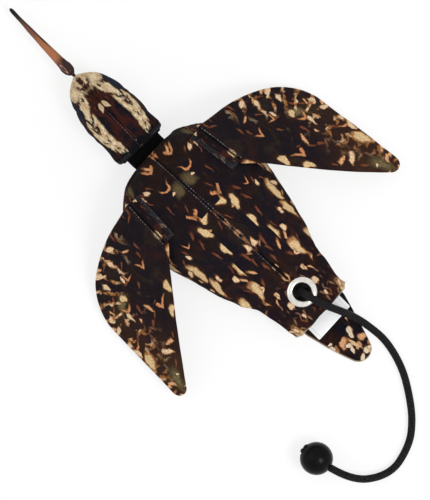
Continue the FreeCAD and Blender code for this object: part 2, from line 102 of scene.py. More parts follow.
def mesh_object(name, points, faces):
    mesh = bpy.data.meshes.new(name)
    mesh.from_pydata(points, [], faces)
    mesh.shade_smooth()
    return new_object(name, mesh)


def settle(item, body, node=None, fill=None):
    """Names the body a piece rides on and the plain solid it stands for, which it hides; fill is not used."""
    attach(item, body)
    if node:
        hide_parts(node)
    return item


def cloth_grid(name, rows, cloth, closed=False, flipped=False):
    """A smooth grid of points; cloth gives each point's place on the flat cloth."""
    count = len(rows[0])
    faces = []
    corners = []
    for i in range(len(rows) - 1):
        for j in range(count if closed else count - 1):
            spots = [(i, j), (i, j + 1), (i + 1, j + 1), (i + 1, j)]
            if flipped:
                spots.reverse()
            faces.append([a * count + b % count for a, b in spots])
            corners += [cloth[a][b] for a, b in spots]
    item = mesh_object(name, [point for row in rows for point in row], faces)
    for loop, spot in zip(item.data.uv_layers.new(name="cloth").data, corners):
        loop.uv = spot
    return item


def solid_mesh(name, forms, flipped=False):
    """Closed forms in one mesh; each one is a list of rings of points, capped at both ends."""
    points = []
    faces = []
    for rings in forms:
        first = len(points)
        count = len(rings[0])
        last = first + (len(rings) - 1) * count
        points += [point for ring in rings for point in ring]
        for a in range(first, last, count):
            for j in range(count):
                k = (j + 1) % count
                faces.append((a + j, a + k, a + count + k, a + count + j))
        faces.append([first + j for j in reversed(range(count))])
        faces.append([last + j for j in range(count)])
    return mesh_object(name, points, [face[::-1] for face in faces] if flipped else faces)


def rings_round(line, radii, sides):
    """A ring of points round each point of a line, without twist along it."""
    side = (line[1] - line[0]).orthogonal().normalized()
    turns = [2 * math.pi * j / sides for j in range(sides)]
    found = []
    for i, (point, radius) in enumerate(zip(line, radii)):
        ahead = (line[min(i + 1, len(line) - 1)] - line[max(i - 1, 0)]).normalized()
        side = (side - ahead * side.dot(ahead)).normalized()
        across = ahead.cross(side)
        found.append([point + (side * math.cos(a) + across * math.sin(a)) * radius for a in turns])
    return found


def tube_mesh(name, line, radius, sides=20):
    """A tube along a line; its cloth place is the way along it and the way round it."""
    cloth = [[(way, radius * 2 * math.pi * j / sides) for j in range(sides + 1)] for way in ways_along(line)]
    return cloth_grid(name, rings_round(line, [radius] * len(line), sides), cloth, closed=True)


def thread_mesh(name, runs, radius, sides=6):
    """Pieces of thread in one mesh; each run is a list of points, and narrows at its ends."""
    return solid_mesh(name, [rings_round(run, [radius * 0.45, *[radius] * (len(run) - 2), radius * 0.45], sides)
                             for run in runs])


def smooth_row(table, x):
    """The rest of a table's row for x in its first column, along smooth curves without overshoot."""
    xs, *columns = zip(*table)
    x = min(max(x, xs[0]), xs[-1])
    i = min(max(bisect.bisect_right(xs, x) - 1, 0), len(xs) - 2)
    width = xs[i + 1] - xs[i]
    t = (x - xs[i]) / width

    def tangent(ys, k):
        slopes = [(ys[j + 1] - ys[j]) / (xs[j + 1] - xs[j]) for j in (k - 1, k) if 0 <= j < len(xs) - 1]
        if len(slopes) == 1:
            return slopes[0]
        before, after = slopes
        return 2 * before * after / (before + after) if before * after > 0 else 0.0

    return [(1 + 2 * t) * (1 - t) ** 2 * ys[i] + t * (1 - t) ** 2 * width * tangent(ys, i)
            + t * t * (3 - 2 * t) * ys[i + 1] + t * t * (t - 1) * width * tangent(ys, i + 1)
            for ys in columns]


def ripple(x, y, size, seed=0.0):
    """A soft random height between -1 and 1, whose lumps are about size across."""
    return noise.noise(Vector((x / size, y / size, seed)))


def bell(x, middle, width):
    return math.exp(-((x - middle) / width) ** 2)


def ramp(x, start, end):
    """A soft step from 0 at start to 1 at end."""
    share = min(max((x - start) / (end - start), 0), 1)
    return share * share * (3 - 2 * share)


def waves(x, length, drift):
    """An even wave along x, drawn out of step by drift."""
    return math.sin(x / length * 2 * math.pi + drift)


def round_edge(distance, radius):
    """The height of a rounded edge, 0 at the edge and 1 from its radius inwards."""
    return math.sqrt(max(1 - (1 - min(distance, radius) / radius) ** 2, 0))


def ways_along(points):
    """The way along a line of points to each of them."""
    return [0.0, *itertools.accumulate((b - a).length for a, b in zip(points, points[1:]))]


def spaced(points, step):
    """Points one step apart along a line of points."""
    found = [points[0].copy()]
    left = step
    for start, end in zip(points, points[1:]):
        length = (end - start).length
        while length >= left > 0:
            start = start.lerp(end, left / length)
            found.append(start.copy())
            length = (end - start).length
            left = step
        left -= length
    return found


# ---------------------------------------------------------------- throw cord

CORD_WIDTH = 5.5 * MM
CORD_ROUTE = [
    (0, 0, 13),
    (0, 0, 19),
    (-5, -0.8, 23.2),
    (-17, -3.3, 22.6),
    (-30, -8.6, 16.6),
    (-41, -12.4, 8.8),
    (-53, -14.4, 3.9),
    (-70, -15.2, 2.8),
    (-91.4, -8.5, 2.8),
    (-108.5, 2.7, 2.8),
    (-122.7, 14.8, 2.8),
    (-133.4, 30, 2.8),
    (-137.8, 55.8, 2.8),
    (-115.8, 80.2, 12),
    (-83.5, 82.5, 12),
]


KNOT_LOOP = 2.5
KNOT_SWING = 1.35


def knot_line(count=120):
    """The way of a cord through an overhand knot, pulled tight, in shares of the knot's half size."""
    line = []
    for i in range(count + 1):
        t = 2 * math.pi * i / count
        ring = (KNOT_LOOP + KNOT_SWING * math.cos(3 * t)) / (KNOT_LOOP + KNOT_SWING)
        line.append(Vector((ring * math.cos(2 * t), ring * math.sin(2 * t), 0.99 * math.sin(3 * t))))
    return line


def make_knot(name, node, turn, strand):
    """A tight overhand knot that fills the place of its plain solid."""
    low, high = (Vector(corner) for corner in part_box(node))
    half = Vector([abs(value) / 2 - strand for value in turn.inverted() @ (high - low)])
    line = [(low + high) / 2 + turn @ (spot * half) for spot in knot_line()]
    return settle(tube_mesh(name, line, strand, sides=16), "body", node)


stopper = make_knot("stopper_overhand_knot", "stopper_knot", Matrix.Identity(3), 2.5 * MM)
end_turn = Matrix.Rotation(math.radians(90), 3, "Y")
end_knot = make_knot("end_overhand_knot", "end_knot", end_turn, 1.9 * MM)


def lay_cord():
    """The cord's smooth line, and its braided tube."""
    curve = bpy.data.curves.new("throw_cord_line", "CURVE")
    curve.dimensions = "3D"
    curve.resolution_u = 12
    spline = curve.splines.new("NURBS")
    spline.points.add(len(CORD_ROUTE) - 1)
    for point, (reach, side, height) in zip(spline.points, CORD_ROUTE):
        point.co = (*place(reach, side, height), 1)
    spline.order_u = 3
    spline.use_endpoint_u = True
    guide = new_object("throw_cord_line", curve)
    sampled = bpy.data.meshes.new_from_object(guide.evaluated_get(bpy.context.evaluated_depsgraph_get()))
    line = spaced([vertex.co.copy() for vertex in sampled.vertices], 0.8 * MM)
    bpy.data.meshes.remove(sampled)
    bpy.data.objects.remove(guide)
    bpy.data.curves.remove(curve)
    tube = settle(tube_mesh("throw_cord_braid", line, CORD_WIDTH / 2), "body", "throw_cord")
    length = sum((b - a).length for a, b in zip(line, line[1:]))
    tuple(line[0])
    return tube


cord = lay_cord()


# ---------------------------------------------------------------- shader building blocks


class Wire:
    """One wire of a shader tree. Arithmetic on it adds the nodes; on vectors it goes by their parts."""

    def __init__(self, wiring, socket):
        self.wiring = wiring
        self.socket = socket

    def math(self, operation, *given):
        kind = "ShaderNodeMath" if self.socket.type == "VALUE" else "ShaderNodeVectorMath"
        return Wire(self.wiring, self.wiring.node(kind, {"operation": operation}, *given).outputs[0])

    def __add__(self, other):
        return self.math("ADD", self, other)

    __radd__ = __add__

    def __sub__(self, other):
        return self.math("SUBTRACT", self, other)

    def __rsub__(self, other):
        return self.math("SUBTRACT", other, self)

    def __mul__(self, other):
        return self.math("MULTIPLY", self, other)

    def __truediv__(self, other):
        return self.math("DIVIDE", self, other)

    def __rtruediv__(self, other):
        return self.math("DIVIDE", other, self)

    def __mod__(self, other):
        return self.math("FLOORED_MODULO", self, other)

    def __pow__(self, other):
        return self.math("POWER", self, other)

    def __abs__(self):
        return self.math("ABSOLUTE", self)

    def __floor__(self):
        return self.math("FLOOR", self)

    def most(self, other):
        return self.math("MAXIMUM", self, other)

    def below(self, limit):
        return self.math("LESS_THAN", self, limit)

    def crown(self):
        """Rises from 0 to 1 and back once in each whole number."""
        turn = self * math.pi
        return abs(turn.math("SINE", turn))

    def length(self):
        item = self.wiring.node("ShaderNodeVectorMath", {"operation": "LENGTH"}, self)
        return Wire(self.wiring, item.outputs["Value"])

    def centred(self):
        """A texture's colour as an offset about zero."""
        return Wire(self.wiring, self.socket.node.outputs["Color"]) - (0.5, 0.5, 0.5)

    def between(self, low, high, low_to=0.0, high_to=1.0):
        """This number, moved softly from one range to another and kept inside it."""
        item = self.wiring.node("ShaderNodeMapRange", {"interpolation_type": "SMOOTHSTEP"},
                                self, low, high, low_to, high_to)
        return Wire(self.wiring, item.outputs[0])


class Wiring:
    """Adds nodes to one tree; anything given to a socket is a value, a wire or another socket."""

    def __init__(self, tree, material=None):
        self.tree = tree
        self.material = material
        self.shader = tree.nodes.get("Principled BSDF")

    def feed(self, socket, given):
        given = given.socket if isinstance(given, Wire) else given
        if isinstance(given, bpy.types.NodeSocket):
            self.tree.links.new(given, socket)
        elif socket.type == "RGBA":
            socket.default_value = (*given, 1)
        else:
            socket.default_value = given

    def node(self, kind, settings, *in_order, **by_name):
        item = self.tree.nodes.new(kind)
        for key, setting in settings.items():
            setattr(item, key, setting)
        for socket, given in zip(item.inputs, in_order):
            self.feed(socket, given)
        for key, given in by_name.items():
            self.feed(item.inputs[key.replace("_", " ")], given)
        return item

    def wires(self, item):
        return [Wire(self, socket) for socket in item.outputs]

    def mix(self, share, first, second, blend="MIX"):
        item = self.node("ShaderNodeMix", {"data_type": "RGBA", "blend_type": blend})
        for number, given in ((0, share), (6, first), (7, second)):
            self.feed(item.inputs[number], given)
        return Wire(self, item.outputs[2])

    def noise(self, place, scale, detail=2.0, roughness=0.5, distortion=0.0):
        item = self.node("ShaderNodeTexNoise", {"noise_dimensions": "3D"}, Vector=place, Scale=scale,
                         Detail=detail, Roughness=roughness, Distortion=distortion)
        return Wire(self, item.outputs[0])

    def group(self, tree, **sockets):
        item = self.node("ShaderNodeGroup", {"node_tree": tree}, **sockets)
        return {wire.socket.name: wire for wire in self.wires(item)}

    def turned(self, place, angle):
        item = self.node("ShaderNodeVectorRotate", {"rotation_type": "Z_AXIS"}, Vector=place, Angle=angle)
        return Wire(self, item.outputs[0])

    def parts(self, place):
        return self.wires(self.node("ShaderNodeSeparateXYZ", {}, place))

    def joined(self, x, y):
        return Wire(self, self.node("ShaderNodeCombineXYZ", {}, x, y).outputs[0])

    def on_cloth(self, layer="cloth"):
        """Where a point lies on the flat cloth, in metres."""
        return Wire(self, self.node("ShaderNodeUVMap", {"uv_map": layer}).outputs[0])

    def in_space(self):
        return Wire(self, self.node("ShaderNodeTexCoord", {}).outputs["Object"])

    def bump(self, height, distance, strength=1.0):
        relief = self.node("ShaderNodeBump", {}, Height=height, Distance=distance, Strength=strength)
        self.feed(self.shader.inputs["Normal"], relief.outputs[0])

    def finished(self, colour, roughness, height, distance, strength=1.0):
        """Gives the shader what varies over it, and returns the material."""
        self.feed(self.shader.inputs["Base Color"], colour)
        self.feed(self.shader.inputs["Roughness"], roughness)
        self.bump(height, distance, strength)
        return self.material


def new_material(name, **settings):
    """The wiring of a material with its Principled shader, whose plain sockets get their values here."""
    material = bpy.data.materials.new(name)
    material.use_nodes = True
    w = Wiring(material.node_tree, material)
    for key, given in settings.items():
        w.feed(w.shader.inputs[key.replace("_", " ")], given)
    return w


def shader_group(**inputs):
    """Makes a shader group of a function, which gets the group's inputs and returns its outputs.

    An input that starts as None is a vector. An output named Colour is a colour, the others numbers.
    """
    def build(function):
        tree = bpy.data.node_groups.new(function.__name__, "ShaderNodeTree")
        for label, start in inputs.items():
            kind = "NodeSocketVector" if start is None else "NodeSocketFloat"
            socket = tree.interface.new_socket(name=label, in_out="INPUT", socket_type=kind)
            if start is not None:
                socket.default_value = start
        w = Wiring(tree)
        given = function(w, *w.wires(w.node("NodeGroupInput", {}))[:len(inputs)])
        for label in given:
            kind = "NodeSocketColor" if label == "Colour" else "NodeSocketFloat"
            tree.interface.new_socket(name=label, in_out="OUTPUT", socket_type=kind)
        w.node("NodeGroupOutput", {}, *given.values())
        return tree

    return build


@shader_group(Place=None, Thread=0.0006)
def canvas_weave(w, spot, thread):
    """A plain weave: warp and weft threads that pass over and under each other."""
    x, y, _ = w.parts(spot)
    wander = (w.noise(spot, 180.0, 2.0) - 0.5) * 0.5
    across = x / thread + wander
    along = y / thread + wander
    over = (math.floor(across) + math.floor(along)) % 2.0
    warp = across.crown() * (0.4 + over * 0.6)
    weft = along.crown() * (1.0 - over * 0.6)
    return {"Height": warp.most(weft), "Slub": w.noise(spot * (260.0, 1800.0, 1.0), 1.0, 3.0)}


@shader_group(Place=None, Strand=0.0016)
def braid_pattern(w, spot, strand):
    """Diamonds of two sets of strands that run round a cord both ways."""
    x, y, _ = w.parts(spot)
    first = (x + y) / strand
    second = (x - y) / strand
    over = (math.floor(first) + math.floor(second)) % 2.0
    lanes = [number.crown() * on_top * (0.45 + other.crown() * 0.55)
             for number, other, on_top in ((first, second, over), (second, first, 1.0 - over))]
    return {"Height": (lanes[0] + lanes[1]) ** 0.6,
            "Tone": w.noise(w.joined(first, second), 0.9, 2.0),
            "Over": over}


# ---------------------------------------------------------------- plain finishes


def braid_finish():
    w = new_material("black_braided_cord", Specular_IOR_Level=0.02)
    pattern = w.group(braid_pattern, Place=w.on_cloth(), Strand=0.00096)
    height, tone = pattern["Height"], pattern["Tone"]
    # Painted highlight on the crowns of the strands that lie on top, and painted shade in the gaps between
    # them.
    painted_strand_highlight = height.between(0.6, 0.95) * (0.08 + pattern["Over"] * 0.92)
    colour = w.mix(painted_strand_highlight, (0.0003, 0.0003, 0.0003), (0.13, 0.124, 0.124))
    colour = w.mix(tone.between(0.58, 0.8) * 0.25, colour, (0.035, 0.034, 0.035))
    return w.finished(colour, tone.between(0.2, 0.8, 0.3, 0.5), height, 0.0011)


def nickel_finish():
    w = new_material("scuffed_nickel", Metallic=1.0)
    solid = w.in_space()
    cloud = w.noise(solid, 320.0, 4.0, 0.6)
    scratch = w.noise(solid * (3200.0, 260.0, 260.0), 1.0, 3.0, 0.6)
    colour = w.mix(cloud.between(0.3, 0.7), (0.66, 0.63, 0.58), (0.76, 0.73, 0.68))
    x, y, _ = w.parts(solid)
    # Painted shade: the inside of the eyelet's barrel is drawn dark, where shade falls in the hole.
    painted_barrel_shade = w.joined(x - EYELET_X, y).length().between(0.0068, 0.0056, 0.0, 0.6)
    colour = w.mix(painted_barrel_shade, colour, (0.2, 0.18, 0.16))
    rough = cloud.between(0.3, 0.75, 0.16, 0.24) + scratch.between(0.62, 0.8, 0.0, 0.1)
    return w.finished(colour, rough, scratch, 0.00002, 0.4)


def ball_finish():
    w = new_material("black_satin_ball", Specular_IOR_Level=0.085)
    cloud = w.noise(w.in_space(), 180.0, 4.0, 0.6)
    grain = w.noise(w.in_space(), 1500.0, 3.0, 0.6)
    colour = w.mix(cloud.between(0.35, 0.7), (0.0008, 0.0007, 0.0008), (0.0026, 0.0022, 0.0023))
    return w.finished(colour, cloud.between(0.3, 0.7, 0.22, 0.3), grain, 0.00006, 0.5)


def webbing_finish():
    """Black webbing: close ribs across the strap, crossed by a finer slanting twill."""
    w = new_material("black_neck_webbing", Specular_IOR_Level=0.02)
    x, y, _ = w.parts(w.on_cloth())
    height = (x / 0.0013).crown() * 0.6 + ((y + x * 0.6) / 0.0011).crown() * 0.4
    lint = w.noise(w.on_cloth(), 700.0, 3.0, 0.7)
    # Painted shade in the grooves between the ribs, with lighter rib tops.
    colour = w.mix(height.between(0.2, 0.95), (0.0006, 0.0005, 0.0006), (0.0045, 0.004, 0.0042))
    colour = w.mix(lint.between(0.62, 0.8, 0.0, 0.4), colour, (0.05, 0.045, 0.045))
    return w.finished(colour, height.between(0.0, 1.0, 0.95, 0.7), height, 0.0005)


def thread_finish(name, dark, light):
    """Sewing thread: twisted strands with painted glints, light flecks where they would catch the light here
    and there.
    """
    w = new_material(name, Specular_IOR_Level=0.35)
    fleck = w.noise(w.in_space(), 760.0, 3.0, 0.7)
    strand = w.noise(w.in_space() * (1900.0, 1900.0, 4200.0), 1.0, 2.0)
    # Painted glints: random flecks of the light colour over the dark thread.
    colour = w.mix(fleck.between(0.42, 0.62), dark, light)
    return w.finished(colour, strand.between(0.3, 0.7, 0.45, 0.75), strand, 0.0002)


def bill_finish():
    """Glossy skin: dark at the root and the tip, warm brown between, with a dark line along one side."""
    w = new_material("glossy_bill_skin", Coat_Roughness=0.15, Specular_IOR_Level=0.08)
    spot = w.on_cloth()
    way, turn, _ = w.parts(spot)
    cloud = w.noise(w.in_space(), 130.0, 4.0, 0.6, 0.4)
    grain = w.noise(w.joined(way * 160.0, turn * 26.0), 1.0, 4.0, 0.6)
    shifted = way + (cloud - 0.5) * 0.012
    colour = w.mix(shifted.between(0.011, 0.02), (0.026, 0.009, 0.008), (0.34, 0.125, 0.052))
    colour = w.mix(shifted.between(0.028, 0.046), colour, (0.15, 0.058, 0.036))
    colour = w.mix(shifted.between(0.046, 0.062), colour, (0.006, 0.004, 0.0032))
    dark_side = (abs(turn - 0.84) + (grain - 0.5) * 0.05).between(0.1, 0.05)
    colour = w.mix(dark_side * shifted.between(0.022, 0.034, 0.15, 1.0), colour, (0.005, 0.0025, 0.002))
    colour = w.mix(grain.between(0.55, 0.78, 0.0, 0.5), colour, (0.03, 0.011, 0.007))
    nostril = ((spot - (0.0075, 0.09, 0.0)) * (1 / 0.0042, 1 / 0.045, 0.0)).length()
    ring = nostril.between(1.15, 0.95) * nostril.between(0.55, 0.8)
    colour = w.mix(ring * 0.75, colour, (0.5, 0.24, 0.19))
    w.feed(w.shader.inputs["Coat Weight"], cloud.between(0.3, 0.7, 0.08, 0.3))
    return w.finished(colour, grain.between(0.3, 0.7, 0.2, 0.34), grain * 0.6 + ring, 0.0003, 0.6)


def label_finish():
    """Bare white label cloth: a fine satin weave, with a line and a worn hem at each end."""
    w = new_material("bare_woven_label", Specular_IOR_Level=0.3)
    weave = w.group(canvas_weave, Place=w.on_cloth(), Thread=0.00034)
    height = weave["Height"]
    from_middle = abs(w.parts(w.on_cloth())[1])
    # Painted shade between the threads of the weave, which is drawn darker where it is low.
    colour = w.mix(height.between(0.1, 0.8), (0.9, 0.9, 0.91), (0.99, 0.99, 0.99))
    line = from_middle.between(0.0139, 0.0141) * from_middle.between(0.0146, 0.0144)
    colour = w.mix(line * 0.35, colour, (0.3, 0.3, 0.32))
    colour = w.mix(from_middle.between(0.0147, 0.0155) * 0.2, colour, (0.7, 0.69, 0.66))
    return w.finished(colour, weave["Slub"].between(0.3, 0.7, 0.6, 0.8), height, 0.0001, 0.6)


def fill_finish(name, dark, light):
    """White fibre filling or foam, with soft clumps."""
    w = new_material(name, Specular_IOR_Level=0.1)
    clumps = w.noise(w.in_space(), 120.0, 5.0, 0.7, 0.8)
    colour = w.mix(clumps.between(0.3, 0.7), dark, light)
    return w.finished(colour, clumps.between(0.3, 0.7, 0.85, 1.0), clumps, 0.002)


def raw_canvas():
    """The undyed cut edge of the canvas, with loose threads."""
    w = new_material("raw_canvas_edge")
    fray = w.noise(w.in_space(), 900.0, 4.0, 0.7)
    tone = w.noise(w.in_space(), 110.0, 3.0)
    pale = w.mix(fray.between(0.35, 0.7), (0.12, 0.08, 0.05), (0.5, 0.4, 0.27))
    return w.finished(w.mix(tone.between(0.45, 0.6), (0.05, 0.03, 0.02), pale), 0.95, fray, 0.0004)


def dress(node, material):
    """Gives a CAD piece that shows as it is its finish, and softens its edges."""
    item = frame["nodes"][node]
    item.data.materials.clear()
    item.data.materials.append(material)
    softened = item.modifiers.new("softened_edges", "BEVEL")
    softened.width = 0.15 * MM
    softened.segments = 2
    softened.limit_method = "ANGLE"


# ---------------------------------------------------------------- printed plumage


@shader_group(Place=None, Spacing=0.02, Length=0.3, Width=0.16, Split=0.0, Swing=0.6, Share=0.5,
              Softness=0.1, Ragged=0.12, Seed=0.0)
def feather_marks(w, spot, spacing, length, width, split, swing, share, softness, ragged, seed):
    """One mark in some of a field's cells: a drop, a leaf or a split stroke, soft at its edge."""
    moved = spot * (1.0 / spacing) + w.joined(seed, seed * 1.7)
    strands = w.noise(moved * (3.5, 17.0, 1.0), 1.0, 4.0, 0.7)
    bent = moved + w.noise(moved, 1.6, 2.0).centred() * (0.45, 0.45, 0.0)
    bent = bent + strands.centred() * w.joined(ragged, ragged * 0.5)
    field = w.node("ShaderNodeTexVoronoi", {"voronoi_dimensions": "2D"}, Vector=bent, Scale=1.0,
                   Randomness=0.85)
    turn_lot, size_lot, share_lot = w.wires(w.node("ShaderNodeSeparateColor", {}, field.outputs["Color"]))
    x, y, _ = w.parts(w.turned(bent - field.outputs["Position"], (turn_lot - 0.5) * swing))
    size = 0.6 + size_lot * 0.7
    # A split mark is bent back at both sides of its own line, like a chevron.
    x = x + abs(y) * split * 1.7
    taper = 1.0 + x / length * 0.42
    away = w.joined(x / (length * size), abs(y) / (width * size * taper)).length()
    here = share_lot.below(share)
    return {"Mask": away.between(1.0 + softness, 1.0 - softness) * here,
            "Halo": away.between(1.9, 0.95) * here,
            "Core": away.between(0.95, 0.3),
            "Tone": size_lot}


@shader_group(Place=None, Olive=0.5, Rust=0.3)
def dark_ground(w, spot, olive, rust):
    """The near-black ground of the print: navy and umber, with olive and rust clouds."""
    broad = w.noise(spot, 34.0, 3.0, 0.55, 0.6)
    colour = w.mix(broad.between(0.45, 0.66), (0.0028, 0.0035, 0.0085), (0.0135, 0.0056, 0.0036))
    warm = w.noise(spot + (0.7, 0.3, 0.0), 62.0, 4.0, 0.6, 0.9)
    colour = w.mix(warm.between(0.5, 0.72) * rust, colour, (0.06, 0.014, 0.007))
    green = w.noise(spot + (0.2, 0.9, 0.0), 48.0, 3.0, 0.5, 0.5)
    colour = w.mix(green.between(0.56, 0.72) * olive, colour, (0.034, 0.024, 0.01))
    streaks = w.noise(spot * (90.0, 420.0, 1.0), 1.0, 4.0, 0.6, 0.4)
    return {"Colour": w.mix(streaks.between(0.56, 0.76, 0.0, 0.5), colour, (0.05, 0.019, 0.009))}


CREAM = (0.76, 0.54, 0.28)
PALE = (0.84, 0.6, 0.37)
PEACH = (0.76, 0.4, 0.2)
AMBER = (0.4, 0.165, 0.05)
RUSTY = (0.64, 0.27, 0.115)
OLIVE = (0.125, 0.1, 0.045)
UMBER = (0.042, 0.014, 0.0075)
FAINT_RUST = ((0.2, 0.062, 0.026), (0.12, 0.034, 0.016))
MARK_SETTINGS = ("Spacing", "Length", "Width", "Split", "Swing", "Share", "Softness", "Ragged", "Seed")


def marks(w, spot, *numbers):
    """One field of marks; its numbers are in the order of MARK_SETTINGS."""
    return w.group(feather_marks, Place=spot, **dict(zip(MARK_SETTINGS, numbers)))


def stamp(w, colour, spot, *fields):
    """Prints fields of marks over a colour; each mark goes from its edge ink to a paler middle.

    A field is its ink, its edge ink, the strength of its dark halo, and the numbers of its marks.
    """
    for ink, edge_ink, halo_share, *numbers in fields:
        field = marks(w, spot, *numbers)
        colour = w.mix(field["Halo"] * halo_share, colour, UMBER)
        shade = w.noise(spot, 260.0, 3.0, 0.65)
        full = field["Core"] * 0.75 + shade * 0.8 - field["Tone"] * 0.3
        colour = w.mix(field["Mask"], colour, w.mix(full.between(0.12, 0.52), edge_ink, ink))
    return colour


def canvas(name):
    return new_material(name, Sheen_Weight=0.015, Sheen_Roughness=0.5, Specular_IOR_Level=0.08)


def on_canvas(w, colour, spot):
    """Puts a printed colour on matte canvas, mottled by its grain; the weave shows in relief, in painted shade
    between its threads and in a painted highlight on some thread tops.
    """
    weave = w.group(canvas_weave, Place=spot, Thread=0.00062)
    height = weave["Height"]
    # Painted shade between the threads: the cloth is drawn darker where the weave is low.
    shade = w.mix(height.between(0.0, 0.9), (0.42, 0.42, 0.42), (1, 1, 1))
    colour = w.mix(0.8, colour, w.mix(1.0, colour, shade, "MULTIPLY"))
    grain = w.noise(spot, 950.0, 3.0, 0.75)
    mottle = w.mix(grain.between(0.34, 0.66), (0.68, 0.68, 0.68), (1.26, 1.26, 1.26))
    colour = w.mix(1.0, colour, mottle, "MULTIPLY")
    # Painted highlight: a pale grey on the tops of slubbed threads, where they would catch the light.
    wear_and_highlight = weave["Slub"].between(0.52, 0.8) * height.between(0.6, 1.0)
    colour = w.mix(wear_and_highlight * 0.07, colour, (0.3, 0.28, 0.3))
    return w.finished(colour, height.between(0.0, 1.0, 0.95, 0.74), height, 0.0003, 0.7)


def body_print():
    """The body's canvas: the way along the bird, and the way out from its centre seam."""
    w = canvas("plumage_canvas_body")
    spot = w.on_cloth()
    x, y, _ = w.parts(spot)
    out = abs(y)
    rear = x.between(0.085, 0.035)
    front = x.between(0.095, 0.125)
    fewer = x.between(0.14, 0.112, 0.25, 1.0)
    drops = (0.08 + out.between(0.01, 0.022) * 0.56) * x.between(0.135, 0.11)
    # The marks lean outwards on both sides, since their lines open out from the neck.
    marked = spot + w.joined(0.0, out * y * 3.2)
    colour = w.group(dark_ground, Place=spot, Olive=0.35, Rust=0.2 + rear * 0.8)["Colour"]
    colour = w.mix(0.04 + rear * 0.09, colour, (0.07, 0.018, 0.008))
    colour = stamp(
        w, colour, marked,
        ((0.12, 0.087, 0.038), OLIVE, 0.2, 0.036, 0.17, 0.085, 0, 1.5, 0.26, 0.7, 0.12, 3.0),
        (*FAINT_RUST, 0.3, 0.0085, 0.42, 0.09, 0, 1.4, 0.3, 0.5, 0.3, 21.0),
        (RUSTY, AMBER, 0.6, 0.0155, 0.1, 0.34, -0.6, 0.8, 0.14 + front * 0.08, 0.25, 0.12, 11.0),
        (PEACH, AMBER, 0.5, 0.0115, 0.32, 0.085, 0, 2.2, fewer * 0.3, 0.3, 0.22, 5.0),
        (CREAM, AMBER, 0.8, 0.0215, 0.42, 0.16, 0, 1.3, drops + 0.02, 0.14, 0.16, 7.3),
        (PALE, PEACH, 0.7, 0.0135, 0.22, 0.17, 0.5, 1.2, fewer * 0.28, 0.16, 0.18, 1.9),
        (PALE, RUSTY, 0.6, 0.0078, 0.32, 0.14, 0, 2.0, 0.06 + rear * 0.34, 0.2, 0.12, 31.0))
    fleck = marks(w, spot, 0.0048, 0.42, 0.11, 0, 1.8, 0.55, 0.3, 0.35, 41.0)
    colour = w.mix(fleck["Mask"] * x.between(0.042, 0.03), colour,
                   w.mix(fleck["Tone"], (0.024, 0.008, 0.004), (0.3, 0.16, 0.085)))
    # The flange's cut corners have lost their print, down to the pale threads.
    wear_and_highlight = w.noise(spot * (260.0, 900.0, 1.0), 1.0, 3.0, 0.7)
    bare = (x + wear_and_highlight * 0.003).between(0.0052, 0.0042) * (out + wear_and_highlight * 0.008).between(0.016, 0.021)
    return on_canvas(w, w.mix(bare * 0.85, colour, (0.5, 0.4, 0.26)), spot)


def wing_print():
    """The wing's canvas: quiet near its fold, barred along its outer edge and busy at its tip."""
    w = canvas("plumage_canvas_wing")
    spot = w.on_cloth()
    x, y, _ = w.parts(spot)
    way, edge, _ = w.parts(w.on_cloth("rim"))
    outer = (y * 0.8 - x * 0.55).between(0.045, 0.095)
    leading = (y + x * 0.45).between(0.028, 0.05)
    marked = w.turned(spot, 0.55)
    colour = w.group(dark_ground, Place=spot, Olive=0.7, Rust=0.35)["Colour"]
    colour = w.mix(0.09 + outer * 0.46, colour, (0.062, 0.022, 0.01))
    colour = stamp(
        w, colour, marked,
        ((0.17, 0.13, 0.06), OLIVE, 0.2, 0.028, 0.24, 0.1, 0, 1.2, 0.38, 0.7, 0.12, 13.0),
        (*FAINT_RUST, 0.3, 0.008, 0.42, 0.09, 0, 1.4, 0.3, 0.5, 0.3, 41.0))
    wave = w.noise(spot, 95.0, 3.0, 0.6)
    phase = way * (2 * math.pi / 0.0124) + wave * 10.0
    bars = phase.math("SINE", phase).between(0.3, 0.8)
    broken = w.noise(spot + (3.0, 1.0, 0.0), 150.0, 3.0)
    barred = (edge + (wave - 0.5) * 0.024).between(0.026, 0.016) * bars * leading * broken.between(0.42, 0.52)
    colour = w.mix(barred, colour, w.mix(broken.between(0.5, 0.62), AMBER, PALE))
    colour = stamp(
        w, colour, marked,
        (RUSTY, AMBER, 0.6, 0.016, 0.1, 0.32, -0.6, 0.9, 0.2, 0.25, 0.12, 4.0),
        (CREAM, AMBER, 0.8, 0.019, 0.3, 0.15, 0, 1.8, 0.4, 0.16, 0.18, 17.0),
        (PEACH, AMBER, 0.5, 0.0118, 0.38, 0.11, 0, 2.6, 0.1 + outer * 0.32, 0.3, 0.3, 9.0),
        (PALE, PEACH, 0.55, 0.0135, 0.38, 0.14, 0.4, 2.6, 0.05 + outer * 0.36, 0.22, 0.3, 23.0))
    # Painted shade: the cloth is drawn near black inside the fold beside the stitches, where the groove lies in
    # shade.
    fold = abs(y - 0.0003).between(0.0014, 0.0006) * x.between(-0.001, 0.001) * x.between(0.038, 0.036)
    return on_canvas(w, w.mix(fold * 0.92, colour, (0.0012, 0.001, 0.001)), spot)


